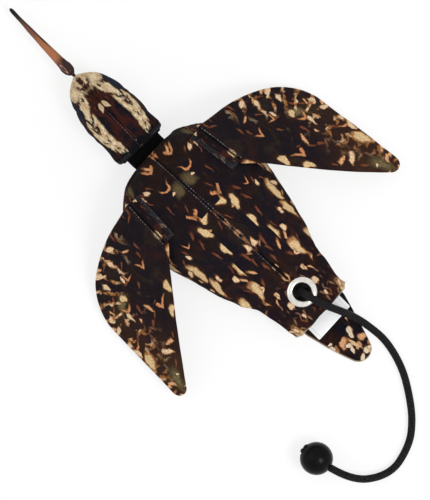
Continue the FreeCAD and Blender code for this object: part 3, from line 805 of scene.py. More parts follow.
def head_print():
    """The head's canvas: a pale face, dark sides, and a ragged pale band along each side of the crown."""
    w = canvas("plumage_canvas_head")
    flat = w.on_cloth()
    drift = w.noise(flat, 150.0, 3.0, 0.6)
    hairs = w.noise(flat * (110.0, 760.0, 1.0), 1.0, 3.0, 0.7)
    spot = flat + drift.centred() * (0.006, 0.0035, 0.0) + hairs.centred() * (0.015, 0.002, 0.0)
    x, y, _ = w.parts(spot)

    def arch(middle, half):
        step = (x - middle) / half
        return 1.0 - step * step

    def around(centre, stretch, where):
        return ((where - centre) * stretch).length()

    colour = w.group(dark_ground, Place=flat, Olive=0.15, Rust=0.9)["Colour"]
    crown = w.noise(flat, 75.0, 3.0, 0.6, 0.5)
    colour = w.mix(crown.between(0.38, 0.62, 0.0, 0.85), colour, (0.052, 0.0105, 0.0055))
    # Each band is a bow about a line beside the seam, and thins towards both its ends.
    from_line = abs(y - (0.0085 + arch(0.027, 0.027) * 0.0085))
    thick = (arch(0.03, 0.031) * 0.0052).most(0.0002)
    band = (from_line / thick).between(1.3, 0.95) * x.below(0.058)
    # Dark slivers lie in the bands like the gaps between feathers, spreading from each band's middle.
    spread = w.joined(x, from_line - x * 0.4)
    for seed in (3.0, 14.0):
        sliver = marks(w, spread, 0.0082, 0.75, 0.12, 0, 0.35, 0.7, 0.3, 0.3, seed)
        band = band * (1.0 - sliver["Mask"])
    cream = w.mix(w.noise(flat, 240.0, 3.0, 0.65).between(0.4, 0.62), (0.62, 0.43, 0.24), (0.8, 0.66, 0.43))
    colour = w.mix(band.most(x.between(0.0535, 0.0575)), colour, cream)
    blots = w.noise(flat, 210.0, 3.0, 0.6, 0.6).between(0.47, 0.53)
    near_bill = around((0.0615, 0.0, 0.0), (1, 1, 1), flat).between(0.0085, 0.0045)
    colour = w.mix(blots * near_bill, colour, (0.045, 0.012, 0.007))
    cheek = around((0.051, 0.0218, 0.0), (1 / 0.0105, 1 / 0.0058, 0.0), spot)
    colour = w.mix(cheek.between(1.2, 1.02), colour, (0.02, 0.009, 0.006))
    colour = w.mix(cheek.between(0.98, 0.86), colour, (0.008, 0.011, 0.026))
    streaks = marks(w, flat, 0.0062, 0.6, 0.08, 0, 0.7, 0.4, 0.4, 0.3, 12.0)
    colour = w.mix(streaks["Mask"] * y.between(0.012, 0.009, 0.0, 0.6), colour, (0.2, 0.06, 0.028))
    spots = marks(w, flat, 0.0085, 0.42, 0.18, 0, 2.6, 0.7, 0.15, 0.2, 9.0)
    on_crown = around((0.0405, 0.0048, 0.0), (1.0, 1.2, 0.0), flat).between(0.0085, 0.006)
    colour = w.mix(spots["Mask"] * on_crown, colour, cream)
    base = (x + (drift - 0.5) * 0.004).between(0.0062, 0.0048)
    return on_canvas(w, w.mix(base, colour, (0.0035, 0.0037, 0.006)), flat)


def tail_print():
    """The tongue's canvas: dark, with a cluster of pale and peach marks near its round end."""
    w = canvas("plumage_canvas_tail")
    spot = w.on_cloth()
    x, y, _ = w.parts(spot)
    edge = w.parts(w.on_cloth("rim"))[1]
    tip = x.between(-0.034, -0.041)
    colour = w.group(dark_ground, Place=spot, Olive=0.3, Rust=0.35)["Colour"]
    colour = stamp(
        w, colour, spot,
        (PEACH, RUSTY, 0.6, 0.0105, 0.36, 0.24, 0, 2.4, tip * 0.6, 0.3, 0.12, 6.0),
        ((0.85, 0.68, 0.5), PALE, 0.8, 0.0098, 0.4, 0.22, 0.3, 2.6, 0.04 + tip * 0.66, 0.16, 0.25, 44.0),
        (CREAM, AMBER, 0.4, 0.014, 0.42, 0.06, 0, 1.2, tip * 0.6, 0.2, 0.12, 15.0))
    hem = edge.between(0.0011, 0.0007) * y.between(-0.006, 0.002)
    return on_canvas(w, w.mix(hem * 0.7, colour, (0.5, 0.38, 0.24)), spot)


# ---------------------------------------------------------------- the stage


def seen_share(w):
    """1 for what the camera sees straight or by mirror or through glass, and 0 for what lights."""
    rays = {wire.socket.name: wire for wire in w.wires(w.node("ShaderNodeLightPath", {}))}
    return rays["Is Camera Ray"].most(rays["Is Glossy Ray"].most(rays["Is Transmission Ray"]))


def white_floor():
    """Matte white; most of what the camera sees of it is plain white, which softens the shadow."""
    w = new_material("white_paper_floor", Roughness=0.95, Base_Color=(0.86, 0.86, 0.86))
    w.bump(w.noise(w.in_space(), 260.0, 4.0), 0.0001, 0.2)
    glow = w.node("ShaderNodeEmission", {}, Color=(1, 1, 1), Strength=1.0)
    blend = w.node("ShaderNodeMixShader", {}, seen_share(w) * 0.74, w.shader.outputs[0], glow.outputs[0])
    w.feed(w.tree.nodes["Material Output"].inputs["Surface"], blend.outputs[0])
    return w.material


def set_up_stage():
    mesh = bpy.data.meshes.new("studio_floor")
    half = 3.0
    mesh.from_pydata([(-half, -half, 0), (half, -half, 0), (half, half, 0), (-half, half, 0)],
                     [], [(0, 1, 2, 3)])
    floor = new_object("studio_floor", mesh)
    floor.data.materials.append(white_floor())
    world = bpy.data.worlds.new("studio_surround")
    bpy.context.scene.world = world
    world.use_nodes = True
    w = Wiring(world.node_tree)
    surround = world.node_tree.nodes["Background"].inputs
    w.feed(surround["Color"], (1, 1, 1))
    w.feed(surround["Strength"], 0.84 + seen_share(w) * 0.16)
    for name, spot, size, power in (("key_softbox", (-0.85, -0.2, 1.25), 0.5, 9.0),
                                    ("fill_softbox", (0.9, 0.5, 1.1), 1.2, 3.0)):
        lamp = bpy.data.lights.new(name, "AREA")
        lamp.shape = "SQUARE"
        lamp.size = size
        lamp.energy = power
        item = new_object(name, lamp)
        item.location = spot
        item.rotation_euler = (Vector(spot) * -1).to_track_quat("-Z", "Y").to_euler()
    bpy.context.scene.view_settings.view_transform = "Standard"


set_up_stage()


# ---------------------------------------------------------------- stuffed body

# Reach from the eyelet, half-width, half-height and middle height, in millimetres
BODY_SHAPE = [
    (-24, 26.6, 1.5, 15.5),
    (-12, 26.7, 1.5, 15.5),
    (4, 29.4, 1.5, 15.5),
    (14, 31.0, 1.7, 15.5),
    (19.3, 33.6, 4.2, 15.6),
    (30, 38.3, 9, 16.1),
    (45.9, 43.2, 15, 17.6),
    (64.5, 47.5, 20.5, 20.15),
    (84.5, 52.1, 24, 22.5),
    (104.4, 54, 25, 23),
    (121.7, 50.5, 23.25, 22.3),
    (133.7, 43.2, 19, 21),
    (140.4, 35.1, 13.5, 19.6),
    (145.1, 27, 6.8, 18.7),
    (147, 16.5, 3.2, 18.5),
]
BODY_START = -24
REACHES = ([-21.5, -21, -20] + list(range(-18, 12, 2)) + [12 + 1.25 * i for i in range(16)]
           + [32.5 + 2.5 * i for i in range(38)] + [128.5 + 1.4 * i for i in range(11)]
           + [143.4, 144.6, 145.6, 146.4, 147])
ACROSS = 44  # points from the centre seam to the side seam
HOLE_RADIUS = 8.4  # of the flange's hole for the eyelet
BODY_CLOTH_THICKNESS = 1.2
FLOOR_GAP = 0.02  # the least height of any cloth over the surface


def clear_of_eyelet(reach, side):
    """0 under the eyelet's crown, where the cloth is pressed flat, and 1 away from it."""
    return ramp(math.hypot(reach, side), 11.5, 19)


def flange_wave(reach, side):
    """How the flat tail end waves up and down."""
    wave = 1.1 * ripple(reach, side, 17, 3.1) + 0.5 * ripple(reach, side, 7, 8.2)
    return wave * ramp(-reach, -20, 6) * clear_of_eyelet(reach, side)


def back_relief(reach, side, out):
    """How far the cloth of the back stands out at a distance out from the centre seam."""
    on_body = ramp(reach, 8, 30)
    # Soft lumps, the fine grain of the cloth, the centre seam and the welt beside it
    height = (0.8 * ripple(reach, side, 26, 1.5) + 0.3 * ripple(reach, side, 10, 5.0)) * on_body
    height += 0.07 * ripple(reach, side, 3.5, 2.0)
    height -= (1.0 * on_body + 0.35) * bell(out, 0, 0.9)
    height += 0.55 * bell(out, 2.6, 1.5) * (0.7 + 0.5 * ripple(reach, 0, 9, side))
    # Tucks along the centre seam, gathers in front of the flange, and folds that fan out from the neck
    tuck = waves(reach, 6.4, 3 * ripple(reach, 0, 24, 4.4))
    height += 0.32 * tuck * math.exp(-out / 5) * on_body
    gather = waves(side, 8.5, 4 * ripple(reach, side, 30, 6.6))
    height += 0.95 * gather * bell(reach, 24, 15) * ramp(reach, 6, 18)
    fan = math.sin(side / max(smooth_row(BODY_SHAPE, reach)[0], 1) * 15 + 2.5 * ripple(reach, side, 20, 7.7))
    height += 0.8 * fan * bell(reach, 143, 9)
    return height * clear_of_eyelet(reach, side)


def body_point(reach, share, upper, mirror):
    """A point of the stuffed skin; share is 0 at the centre seam and 1 at the side."""
    half, tall, level = smooth_row(BODY_SHAPE, reach)
    flat = ramp(tall, 9, 1.6)
    power = 2.0 + 5.0 * flat  # a round section on the body, and a boxy one on the flat flange
    out = half * math.sin(share * math.pi / 2)
    rise = tall * max(1 - (out / half) ** power, 0) ** (1 / power)
    side = out * mirror
    lift = back_relief(reach, side, out) if upper else 0.5 * ripple(reach, side, 24, 9.0) * (1 - flat)
    tilt = out / half
    lift *= 1 - 0.75 * ramp(share, 0.86, 1)
    seam = 0.8 * ramp(share, 0.965, 1.0) * (1 - flat * 0.6)
    lean = 0.9 * ramp(reach, 112, 132) + 0.7 * bell(reach, 35, 26) + 1.2 * bell(reach, -13, 10)
    wave = flange_wave(reach, side)
    edge = 0.5 * ripple(reach, 0, 12, mirror * 3.3) + 0.3 * ripple(reach, 0, 5, mirror)
    side_out = (out + lift * tilt - seam + edge * tilt) * mirror + lean * tilt
    up = rise + lift * math.sqrt(max(1 - tilt * tilt, 0.02))
    height = level + wave + (up if upper else -up)
    if not upper:
        # The belly rests on the surface: what would go below it is pressed flat there.
        height = max(height, 0.0) + 0.25 * math.exp(-abs(height) / 1.2) - 0.25 * (height < 0)
        height = max(height, FLOOR_GAP)
    backwards = 0.7 * ripple(0, side, 9, 2.2) * ramp(-reach, 10, 21.5)
    flare = 3.4 * ramp(abs(out) / half, 0.8, 1.02) ** 1.5 * ramp(-reach, 8, 21.5)
    return place(reach - backwards + flare * 0.9, side_out, height)


def body_cloth(name, upper, mirrors):
    """One sewn panel, or the two halves of the belly, with its seams along the centre and sides."""
    rows = []
    cloth = []
    for reach in REACHES:
        row = []
        lay = []
        for mirror in mirrors:
            points = [body_point(reach, j / ACROSS, upper, mirror) for j in range(ACROSS + 1)]
            ways = ways_along(points)
            if mirror < 0:
                points.reverse()
                ways.reverse()
            if row:
                points = points[1:]
                ways = ways[1:]
            row += points
            lay += [((reach - BODY_START) * MM, way) for way in ways]
        rows.append(row)
        cloth.append(lay)
    skin = cloth_grid(name, rows, cloth, flipped=upper)
    pierce(skin.data)
    return skin


def pierce(mesh):
    """Cuts the eyelet's hole through a layer of the flange."""
    grid = bmesh.new()
    grid.from_mesh(mesh)
    middle = place(0, 0, 0).xy
    cut = [face for face in grid.faces if (face.calc_center_median().xy - middle).length < HOLE_RADIUS * MM]
    bmesh.ops.delete(grid, geom=cut, context="FACES")
    grid.to_mesh(mesh)
    grid.free()
    mesh.shade_smooth()


def thicken(item, thickness, edge_slot=None, inward=True):
    """Gives a sheet of cloth its thickness in millimetres, with another finish on its cut edge."""
    shell = item.modifiers.new("cloth_thickness", "SOLIDIFY")
    shell.thickness = thickness * MM
    shell.offset = -1 if inward else 0
    if edge_slot is not None:
        shell.material_offset_rim = edge_slot
    return item


CLOTH_STEPS = 20
CLOTH_SETTINGS = {"vertex_group_mass": "held", "quality": 5, "mass": 0.002, "air_damping": 2.0,
                  "tension_stiffness": 8.0, "compression_stiffness": 8.0, "shear_stiffness": 3.0,
                  "bending_stiffness": 0.02, "use_pressure": True}


def ease(item, held, growth, pressure, free):
    """Lets a sewn panel find its own folds, as cloth that is held at its seams and filled from inside.

    The cloth is a little larger than its place. For one of its points, held says whether it is sewn or
    pressed flat, and free how far it may move.
    """
    mesh = item.data
    trial = new_object(item.name + "_trial", mesh.copy())
    group = trial.vertex_groups.new(name="held")
    for vertex in mesh.vertices:
        group.add([vertex.index], 1.0 if held(vertex) else 0.0, "REPLACE")
    cloth = trial.modifiers.new("panel_cloth", "CLOTH")
    for key, setting in CLOTH_SETTINGS.items():
        setattr(cloth.settings, key, setting)
    cloth.settings.shrink_min = -growth
    cloth.settings.uniform_pressure_force = pressure
    cloth.settings.effector_weights.gravity = 0
    cloth.collision_settings.use_collision = False
    cloth.point_cache.frame_end = CLOTH_STEPS
    scene = bpy.context.scene
    for step in range(CLOTH_STEPS):
        scene.frame_set(1 + step)
    settled = trial.evaluated_get(bpy.context.evaluated_depsgraph_get()).to_mesh()
    for vertex, found in zip(mesh.vertices, settled.vertices):
        move = found.co - vertex.co
        vertex.co += move * min(1, free(vertex) / max(move.length, 1e-9))
        vertex.co.z = max(vertex.co.z, FLOOR_GAP * MM)
    trial.evaluated_get(bpy.context.evaluated_depsgraph_get()).to_mesh_clear()
    scene.frame_set(1)
    trial_mesh = trial.data
    bpy.data.objects.remove(trial)
    bpy.data.meshes.remove(trial_mesh)
    mesh.update()


def body_spot(vertex):
    """The reach and the way out from the middle of a body cloth's point, in millimetres."""
    return (vertex.co.x - EYELET_X) / MM, abs(vertex.co.y) / MM


def body_held(vertex):
    """Along the seams, on the flange and round the mouth."""
    reach, side = body_spot(vertex)
    return side < 0.6 or side > smooth_row(BODY_SHAPE, reach)[0] - 1.3 or reach > 146 or reach < 9


def body_free(vertex):
    """Least on the flat rear end and where the wings are sewn on."""
    reach, side = body_spot(vertex)
    on_tab = bell(reach, 100, 22) * bell(side, 30, 8)
    return (2.2 - 1.4 * on_tab) * ramp(reach, 8, 30) * MM


def cloth_tree(*items):
    """A search tree of pieces of cloth, to lay other pieces on them."""
    points = []
    faces = []
    for item in items:
        first = len(points)
        points += [vertex.co.copy() for vertex in item.data.vertices]
        faces += [[first + i for i in face.vertices] for face in item.data.polygons]
    return BVHTree.FromPolygons(points, faces)


back_left = body_cloth("back_panel_left_cloth", True, (1,))
back_right = body_cloth("back_panel_right_cloth", True, (-1,))
belly = body_cloth("belly_panel_cloth", False, (-1, 1))
for item, growth, pressure in ((back_left, 0.028, 9.0), (back_right, 0.028, 9.0), (belly, 0.02, 4.0)):
    ease(item, body_held, growth, pressure, body_free)
BACK_CLOTH = cloth_tree(back_left, back_right)


def back_height(reach, side):
    """The height of the back's cloth above the surface, in millimetres."""
    found = BACK_CLOTH.ray_cast(place(reach, side, 90), -UP)[0]
    return found.z / MM if found else smooth_row(BODY_SHAPE, reach)[2]


for item, node, fill in ((back_left, "back_panel_left", 0.85), (back_right, "back_panel_right", 0.85),
                         (belly, "belly_panel", 0.8)):
    thicken(item, BODY_CLOTH_THICKNESS, edge_slot=1)
    settle(item, "body", node, fill)


# ---------------------------------------------------------------- flat sewn pieces


def arc_points(start, end, radius, step):
    """Points of an arc bulging to the right of the way from start to end, without its end."""
    chord = end - start
    half = chord.length / 2
    side = Vector((chord.y, -chord.x)).normalized()
    depth = radius - math.sqrt(max(radius * radius - half * half, 0))
    centre = start + chord / 2 + side * (depth - radius)
    first = start - centre
    last = end - centre
    turn = -2 * math.asin(min(half / radius, 1))
    if first.x * last.y - first.y * last.x > 0:
        turn = -turn
    count = max(int(abs(turn) * radius / step), 1)
    return [centre + Matrix.Rotation(turn * i / count, 2) @ first for i in range(count)]


def outline_points(corners, step):
    """A closed outline from corners x, y and, where an arc runs to the next one, its radius."""
    points = []
    for corner, following in zip(corners, corners[1:] + corners[:1]):
        start = Vector(corner[:2])
        end = Vector(following[:2])
        if len(corner) > 2:
            points += arc_points(start, end, corner[2], step)
        else:
            count = max(int((end - start).length / step), 1)
            points += [start.lerp(end, i / count) for i in range(count)]
    return points


def rounded(points, passes):
    """Softens the corners of a closed outline."""
    for _ in range(passes):
        points = [(points[i - 1] + points[i] * 2 + points[(i + 1) % len(points)]) / 4
                  for i in range(len(points))]
    return points


def edge_distance(point, outline):
    """The distance from a point to an outline, and the way along it to the nearest place."""
    best = (1e9, 0.0)
    way = 0.0
    for a, b in zip(outline, outline[1:] + outline[:1]):
        run = b - a
        length = run.length
        share = min(max((point - a).dot(run) / max(length * length, 1e-9), 0), 1)
        distance = (point - a - run * share).length
        if distance < best[0]:
            best = (distance, way + share * length)
        way += length
    return best


ROW_STEP = 0.87  # of the step along a row, so that the points make even triangles


def lay_out(outline, step=1.8, rings=(0.5, 1.1, 2.0, 3.2, 4.6)):
    """Fills an outline with points and triangles: the points, the faces, and how each lies to the edge."""
    keep_out = (rings[-1] if rings else 0) + step * 0.45
    spots = []
    for inset in rings:
        for i, point in enumerate(outline):
            run = (outline[(i + 1) % len(outline)] - outline[i - 1]).normalized()
            spot = point + Vector((-run.y, run.x)) * inset
            if edge_distance(spot, outline)[0] > inset * 0.9:
                spots.append(spot)
    xs = [p.x for p in outline]
    ys = [p.y for p in outline]
    for row in range(int((max(ys) - min(ys)) / (step * ROW_STEP)) + 1):
        for column in range(int((max(xs) - min(xs)) / step) + 1):
            spot = Vector((min(xs) + (column + row % 2 / 2) * step, min(ys) + row * step * ROW_STEP))
            if inside(spot, outline) and edge_distance(spot, outline)[0] > keep_out:
                spots.append(spot)
    count = len(outline)
    edges = [(i, (i + 1) % count) for i in range(count)]
    made = geometry.delaunay_2d_cdt(list(outline) + spots, edges, [list(range(count))], 1, 1e-4)
    points, faces = made[0], [list(face) for face in made[2]]
    for face in faces:
        a, b, c = (points[i] for i in face[:3])
        if (b - a).x * (c - a).y - (b - a).y * (c - a).x < 0:
            face.reverse()
    return points, faces, [edge_distance(p, outline) for p in points]


def cut_cloth(name, layout, shape, flipped=False):
    """A flat piece of cloth; shape gives each place on it, and its distance from the edge, a point.

    Its second cloth layer, rim, holds the way along the edge and the distance from it.
    """
    flat, faces, places = layout
    points = [shape(p.x, p.y, distance) for p, (distance, _) in zip(flat, places)]
    item = mesh_object(name, points, [face[::-1] for face in faces] if flipped else faces)
    mesh = item.data
    plan = mesh.uv_layers.new(name="cloth")
    rim = mesh.uv_layers.new(name="rim")
    for loop in mesh.loops:
        p = flat[loop.vertex_index]
        distance, way = places[loop.vertex_index]
        plan.data[loop.index].uv = (p.x * MM, p.y * MM)
        rim.data[loop.index].uv = (way * MM, distance * MM)
    return item


def inside(point, outline):
    """Whether a point lies inside a closed outline."""
    hit = False
    for a, b in zip(outline, outline[1:] + outline[:1]):
        if (a.y > point.y) != (b.y > point.y):
            if point.x < (b.x - a.x) * (point.y - a.y) / (b.y - a.y) + a.x:
                hit = not hit
    return hit


FINE_STEP = 0.25
SUNK = 0.12  # how far a stitch's ends lie in the cloth


def stitch_runs(line, length, gap, up, rise=0.35):
    """Stitches along a line of points: each one is a low arch over the cloth."""
    fine = spaced(line, FINE_STEP * MM)
    runs = []
    start = 0.0
    while start + length < (len(fine) - 1) * FINE_STEP:
        runs.append([fine[int((start + length * share) / FINE_STEP)]
                     + up * (rise * math.sin(share * math.pi) - SUNK) * MM for share in (0, 0.2, 0.5, 0.8, 1)])
        start += length + gap
    return runs


# ---------------------------------------------------------------- wings and their tabs

WING_OUTLINE = [
    (-1.8, -1.6),
    (38, -1.6),
    (38.2, 4),
    (34.5, 20, 120),
    (19, 60.7, 46.5),
    (-14.1, 82.2),
    (-84, 80.4, 6.6),
    (-86.4, 68),
    (-14.1, 11),
]
WING_THICK = 3.2
WING_SEAM = 3.4  # how far inside the edge the two cloths are sewn together
WING_FOLD = Vector(joints["wing_left_flap"]["pos_m"])
WING_SKEW = math.radians(-5.3)
WING_TURNS = (Matrix.Rotation(WING_SKEW, 3, "Z") @ Matrix.Rotation(math.radians(4), 3, "Y")
              @ Matrix.Rotation(math.radians(-30), 3, "X"))


def wing_point(x, y, height, mirror):
    """A point given on the wing's own plane, in millimetres, from the middle of its fold."""
    point = WING_FOLD + WING_TURNS @ Vector((x, y, height)) * MM
    return Vector((point.x, point.y * mirror, point.z))


def wing_lie(x, y, mirror):
    """Where a place on the pattern lies: no two wings come out of the sewing just alike."""
    to_tip = ramp(-x, 0, 80)
    shift = 0.6 * ramp(y, 6, 30)
    if mirror > 0:
        return x + 2.3 * to_tip + shift, y + 0.5 * ramp(y, 8, 40)
    return x - 3.1 * to_tip + shift, y + (y - 74) * 0.13 * to_tip + 0.8 * ramp(y, 8, 40)


def wing_wave(x, y, mirror):
    """How the wing's sheet is bent out of its plane."""
    return (0.8 * ripple(x, y, 34, 2 + mirror) + 0.25 * ripple(x, y, 11, 5 + mirror)) * ramp(y, 3, 16)


def wing_side(name, layout, mirror, upper):
    """One of a wing's two cloths, rounded at its edge and pressed down along its seam."""
    way = 1 if upper else -1

    def shape(x, y, distance):
        swell = round_edge(distance, 2.6) * WING_THICK / 2
        swell -= 0.22 * bell(distance, WING_SEAM, 0.8)
        swell += 0.25 * ramp(distance, 4, 16)
        swell += 0.1 * ripple(x, y, 6, way) * ramp(distance, 1, 6)
        if upper:
            # A groove runs along the fold, with a gathered ridge beside it.
            swell -= 1.3 * bell(y, 0.4, 0.6) * ramp(x, -1.5, 1.5) * ramp(-x, -38, -36)
            swell += 0.35 * bell(y, 3.2, 1.4) * (0.7 + 0.5 * ripple(x, 0, 6, mirror))
        return wing_point(*wing_lie(x, y, mirror), wing_wave(x, y, mirror) + way * swell, mirror)

    item = cut_cloth(name, layout, shape, flipped=(mirror > 0) != upper)
    edge = [distance for distance, _ in layout[2]]
    ease(item, lambda vertex: edge[vertex.index] < WING_SEAM, 0.012, 1.5,
         lambda vertex: 0.7 * MM * ramp(edge[vertex.index], 3, 8))
    return item


def wing_foam(name, layout, mirror):
    """The thin sheet that keeps a wing flat, midway between its two cloths."""
    def shape(x, y, distance):
        return wing_point(*wing_lie(x, y, mirror), wing_wave(x, y, mirror), mirror)

    return thicken(cut_cloth(name, layout, shape), 1.2, inward=False)


TAB_OUTLINE = [(-0.4, -1.0), (37.6, -0.8), (37.2, -7.6), (1.2, -8.6)]


def tab_point(x, y, lift, mirror):
    """A point on the strip that the wing hangs on, which hugs the back."""
    fold = WING_FOLD / MM
    spot = Matrix.Rotation(WING_SKEW, 2) @ Vector((x, y))
    reach = fold.x + spot.x - EYELET_X / MM
    side = (fold.y + spot.y) * mirror
    return place(reach, side, back_height(reach, side) + lift)


def wing_tab(name, mirror):
    """The strip that a wing hangs on, a little pinched along its overlocked edge."""
    layout = lay_out(rounded(outline_points(TAB_OUTLINE, 0.8), 2), 1.2, (0.3, 0.7, 1.1))

    def shape(x, y, distance):
        pinch = 0.125 * waves(x, 5.3, mirror) * ramp(-y, 3, 8)
        rise = 2.2 * ramp(y, -4.5, -1)
        return tab_point(x, y, 1.3 * round_edge(distance, 1.0) + pinch + rise, mirror)

    return cut_cloth(name, layout, shape, flipped=mirror < 0)


def overlock_runs(mirror):
    """The overlocked edge: bars of thread across the band, and loops along its inner side."""
    runs = []
    rng = random.Random(17 + mirror)
    count = 46
    run = 36.2
    quarters = (0, 0.25, 0.5, 0.75, 1)

    def bow(x, y, run_x, run_y, height, rise):
        """A thread from a place on the tab, over a run, that rises in its middle."""
        return [tab_point(x + run_x * k, y + run_y * k, height + rise * math.sin(k * math.pi), mirror)
                for k in quarters]

    for i in range(count + 1):
        x = 1.0 + run * i / count
        lean = rng.uniform(0.1, 0.6)
        jitter = rng.uniform(-0.2, 0.2)
        runs.append(bow(x + jitter, -8.4, lean, 3.9, 1.25, 0.45))
        if x < run:
            runs.append([tab_point(x + 0.78 * k, -7.9 + 0.35 * math.sin(k * math.pi * 2), 1.55, mirror)
                         for k in (0, 0.3, 0.6, 0.9)])
    return runs + [bow(-0.4, -7.8 + 0.8 * i, 3.4, 0.3, 1.2, 0.4) for i in range(8)]


WING_EDGE = rounded(outline_points(WING_OUTLINE, 1.1), 2)
WING_LAYOUT = lay_out(WING_EDGE)
WING_MIDDLE = sum(WING_EDGE, Vector((0, 0))) / len(WING_EDGE)
FOAM_LAYOUT = lay_out([WING_MIDDLE + (p - WING_MIDDLE) * 0.86 for p in WING_EDGE[::4]], 6, ())


def make_wing(side, mirror):
    """One wing's two cloths, core, stitches, tab and overlocked edge."""
    body = f"{side}_wing"
    upper, lower = (
        settle(wing_side(f"wing_{side}_{layer}_cloth", WING_LAYOUT, mirror, layer == "upper"), body,
               f"wing_{side}_{layer}_panel", 0.5) for layer in ("upper", "lower"))
    core = settle(wing_foam(f"wing_{side}_core", FOAM_LAYOUT, mirror), body,
                  f"wing_{side}_foam", 0.8)
    line = [wing_point(x, 1.6 + 0.15 * math.sin(x / 3), wing_wave(x, 1.6, mirror) + WING_THICK / 2, mirror)
            for x in range(0, 38)]
    up = WING_TURNS @ UP
    up.y *= mirror
    seam = settle(thread_mesh(f"wing_{side}_stitches", stitch_runs(line, 1.5, 0.8, up), 0.3 * MM), body)
    tab = settle(wing_tab(f"wing_tab_{side}_strip", mirror), "body", f"wing_tab_{side}")
    overlock = settle(thread_mesh(f"wing_tab_{side}_overlock", overlock_runs(mirror), 0.24 * MM), "body")
    return upper, lower, core, seam, tab, overlock


left_wing = make_wing("left", 1)
right_wing = make_wing("right", -1)


# ---------------------------------------------------------------- head

HEAD_SKEW = math.radians(-4)
HEAD_TURN = Matrix.Rotation(HEAD_SKEW, 3, "Z")
# Way along the head from the neck's pivot, half-width, half-height and middle height
HEAD_SHAPE = [
    (4, 16.8, 2.4, 18.5),
    (6.1, 19.7, 4.8, 18.4),
    (9.6, 21.1, 8, 18.1),
    (16.6, 21.7, 12.4, 17.5),
    (27.8, 21.8, 15.8, 17.1),
    (39, 21.3, 17, 17.1),
    (48.8, 19.6, 16.3, 17.0),
    (58.6, 16.6, 13.8, 16.9),
    (65.6, 12.8, 10.4, 16.7),
    (70.5, 7.9, 6.4, 16.5),
    (73.2, 3.7, 3.0, 16.4),
    (74.2, 1.4, 1.2, 16.4),
]
HEAD_START = 4
HEAD_PIVOT = Vector(joints["head_twist"]["pos_m"])
HEAD_WAYS = ([5.5, 4.4, 4.0, 4.3, 4.8, 5.6] + [6.5 + 1.2 * i for i in range(12)]
             + [22 + 2 * i for i in range(20)] + [61.5 + 1.0 * i for i in range(11)]
             + [72.3, 73, 73.5, 73.9, 74.2])
ROUND = 64  # points from the top seam round one side to the bottom seam
HEAD_CLOTH_THICKNESS = 1.1


def head_place(along, side, height):
    """A point given in millimetres along the head's own axis, to its left, and up."""
    point = Vector((HEAD_PIVOT.x, HEAD_PIVOT.y, 0)) + HEAD_TURN @ Vector((along, side, 0)) * MM
    point.z = height * MM
    return point


def head_point(along, share, mirror, shrink=0.0, lift=0.0):
    """A point of the head's skin; share is 0 at the top seam and 1 at the bottom one."""
    half, tall, level = smooth_row(HEAD_SHAPE, along)
    half -= shrink
    tall -= shrink * 0.8
    angle = share * math.pi
    out = math.sin(angle)
    up = math.cos(angle)
    way = half * angle
    # Soft lumps, then the seam along the crown with its welt, its tucks, and the gathers at the base
    relief = 0.55 * ripple(along, way * mirror, 15, 12.0) + 0.2 * ripple(along, way * mirror, 6, 3.0)
    relief *= ramp(along, 4, 12) * ramp(-along, -74, -66)
    relief -= 0.9 * bell(way, 0, 0.8) - 0.5 * bell(way, 2.3, 1.3)
    tuck = waves(along, 5.7, 2 * ripple(along, 0, 20, 1.0))
    relief += 0.28 * tuck * math.exp(-way / 4)
    fan = math.sin(out * 9 * (1 if up > 0 else 0.8) + 3 * ripple(along, way * mirror, 18, 9.0))
    relief += 0.7 * fan * bell(along, 7, 7)
    relief = relief * (1 - bell(share, 1, 0.06)) - 0.4 * bell(share, 1, 0.03)
    lip = 1.4 * ramp(-along, -4.6, -4.0)
    if shrink:
        relief, lip = 0.0, 0.0
    side = (half + relief - lip + lift) * out * mirror
    height = level + (tall + relief - lip * 0.5 + lift) * up
    return head_place(along, side, max(height, 0.1))


def head_cloth(name, mirror):
    """One sewn panel of the head, turned in at its open base."""
    rows = []
    cloth = []
    for index, along in enumerate(HEAD_WAYS):
        inward = 1.6 if index == 0 else 0.8 if index == 1 else 0.0
        points = [head_point(along, j / ROUND, mirror, inward) for j in range(ROUND + 1)]
        rows.append(points)
        cloth.append([((along - HEAD_START) * MM, way) for way in ways_along(points)])
    return cloth_grid(name, rows, cloth, flipped=mirror > 0)


def base_overlock():
    """Overlocked thread round the head's open base: bars across its edge, and loops beside them."""
    runs = []
    rng = random.Random(29)
    count = 58
    for mirror in (1, -1):
        for i in range(count):
            share = 0.15 + 0.85 * (i + 0.5) / count
            turn = rng.uniform(-0.004, 0.004)
            reach = rng.uniform(2.2, 3.0)
            runs.append([head_point(4.5 + reach * k, share + turn + 0.006 * k, mirror,
                                    lift=0.1 + 0.3 * math.sin(k * math.pi)) for k in (0, 0.3, 0.6, 1)])
            runs.append([head_point(7.0 + 0.3 * math.sin(k * math.pi), share + 0.011 * k, mirror, lift=0.3)
                         for k in (0, 0.5, 1)])
    return runs


def filling(name, point, ways, count):
    """Loose filling inside a skin, as one closed form."""
    return solid_mesh(name, [[[point(way, j / count) for j in range(count)] for way in ways]], flipped=True)


def head_fill_point(along, turn):
    mirror = 1 if turn < 0.5 else -1
    share = turn * 2 if turn < 0.5 else 2 - turn * 2
    return head_point(along, share, mirror, shrink=2.2)


def body_fill_point(reach, turn):
    angle = turn * 2 * math.pi
    half, tall, level = smooth_row(BODY_SHAPE, reach)
    height = level + max(tall - 3.2, 0.4) * math.cos(angle)
    return place(reach, (half - 3.4) * math.sin(angle), max(height, 2.6))


def head_spot(vertex):
    """The way along the head and out from its middle of a head cloth's point, in millimetres."""
    spot = HEAD_TURN.inverted() @ (vertex.co - HEAD_PIVOT)
    return spot.x / MM, abs(spot.y) / MM


def head_held(vertex):
    """Along the two seams, at the base and at the bill."""
    along, side = head_spot(vertex)
    return side < 0.7 or along < 8.5 or along > 69


def head_free(vertex):
    """Least near the base."""
    return 1.1 * MM * ramp(head_spot(vertex)[0], 8, 20)


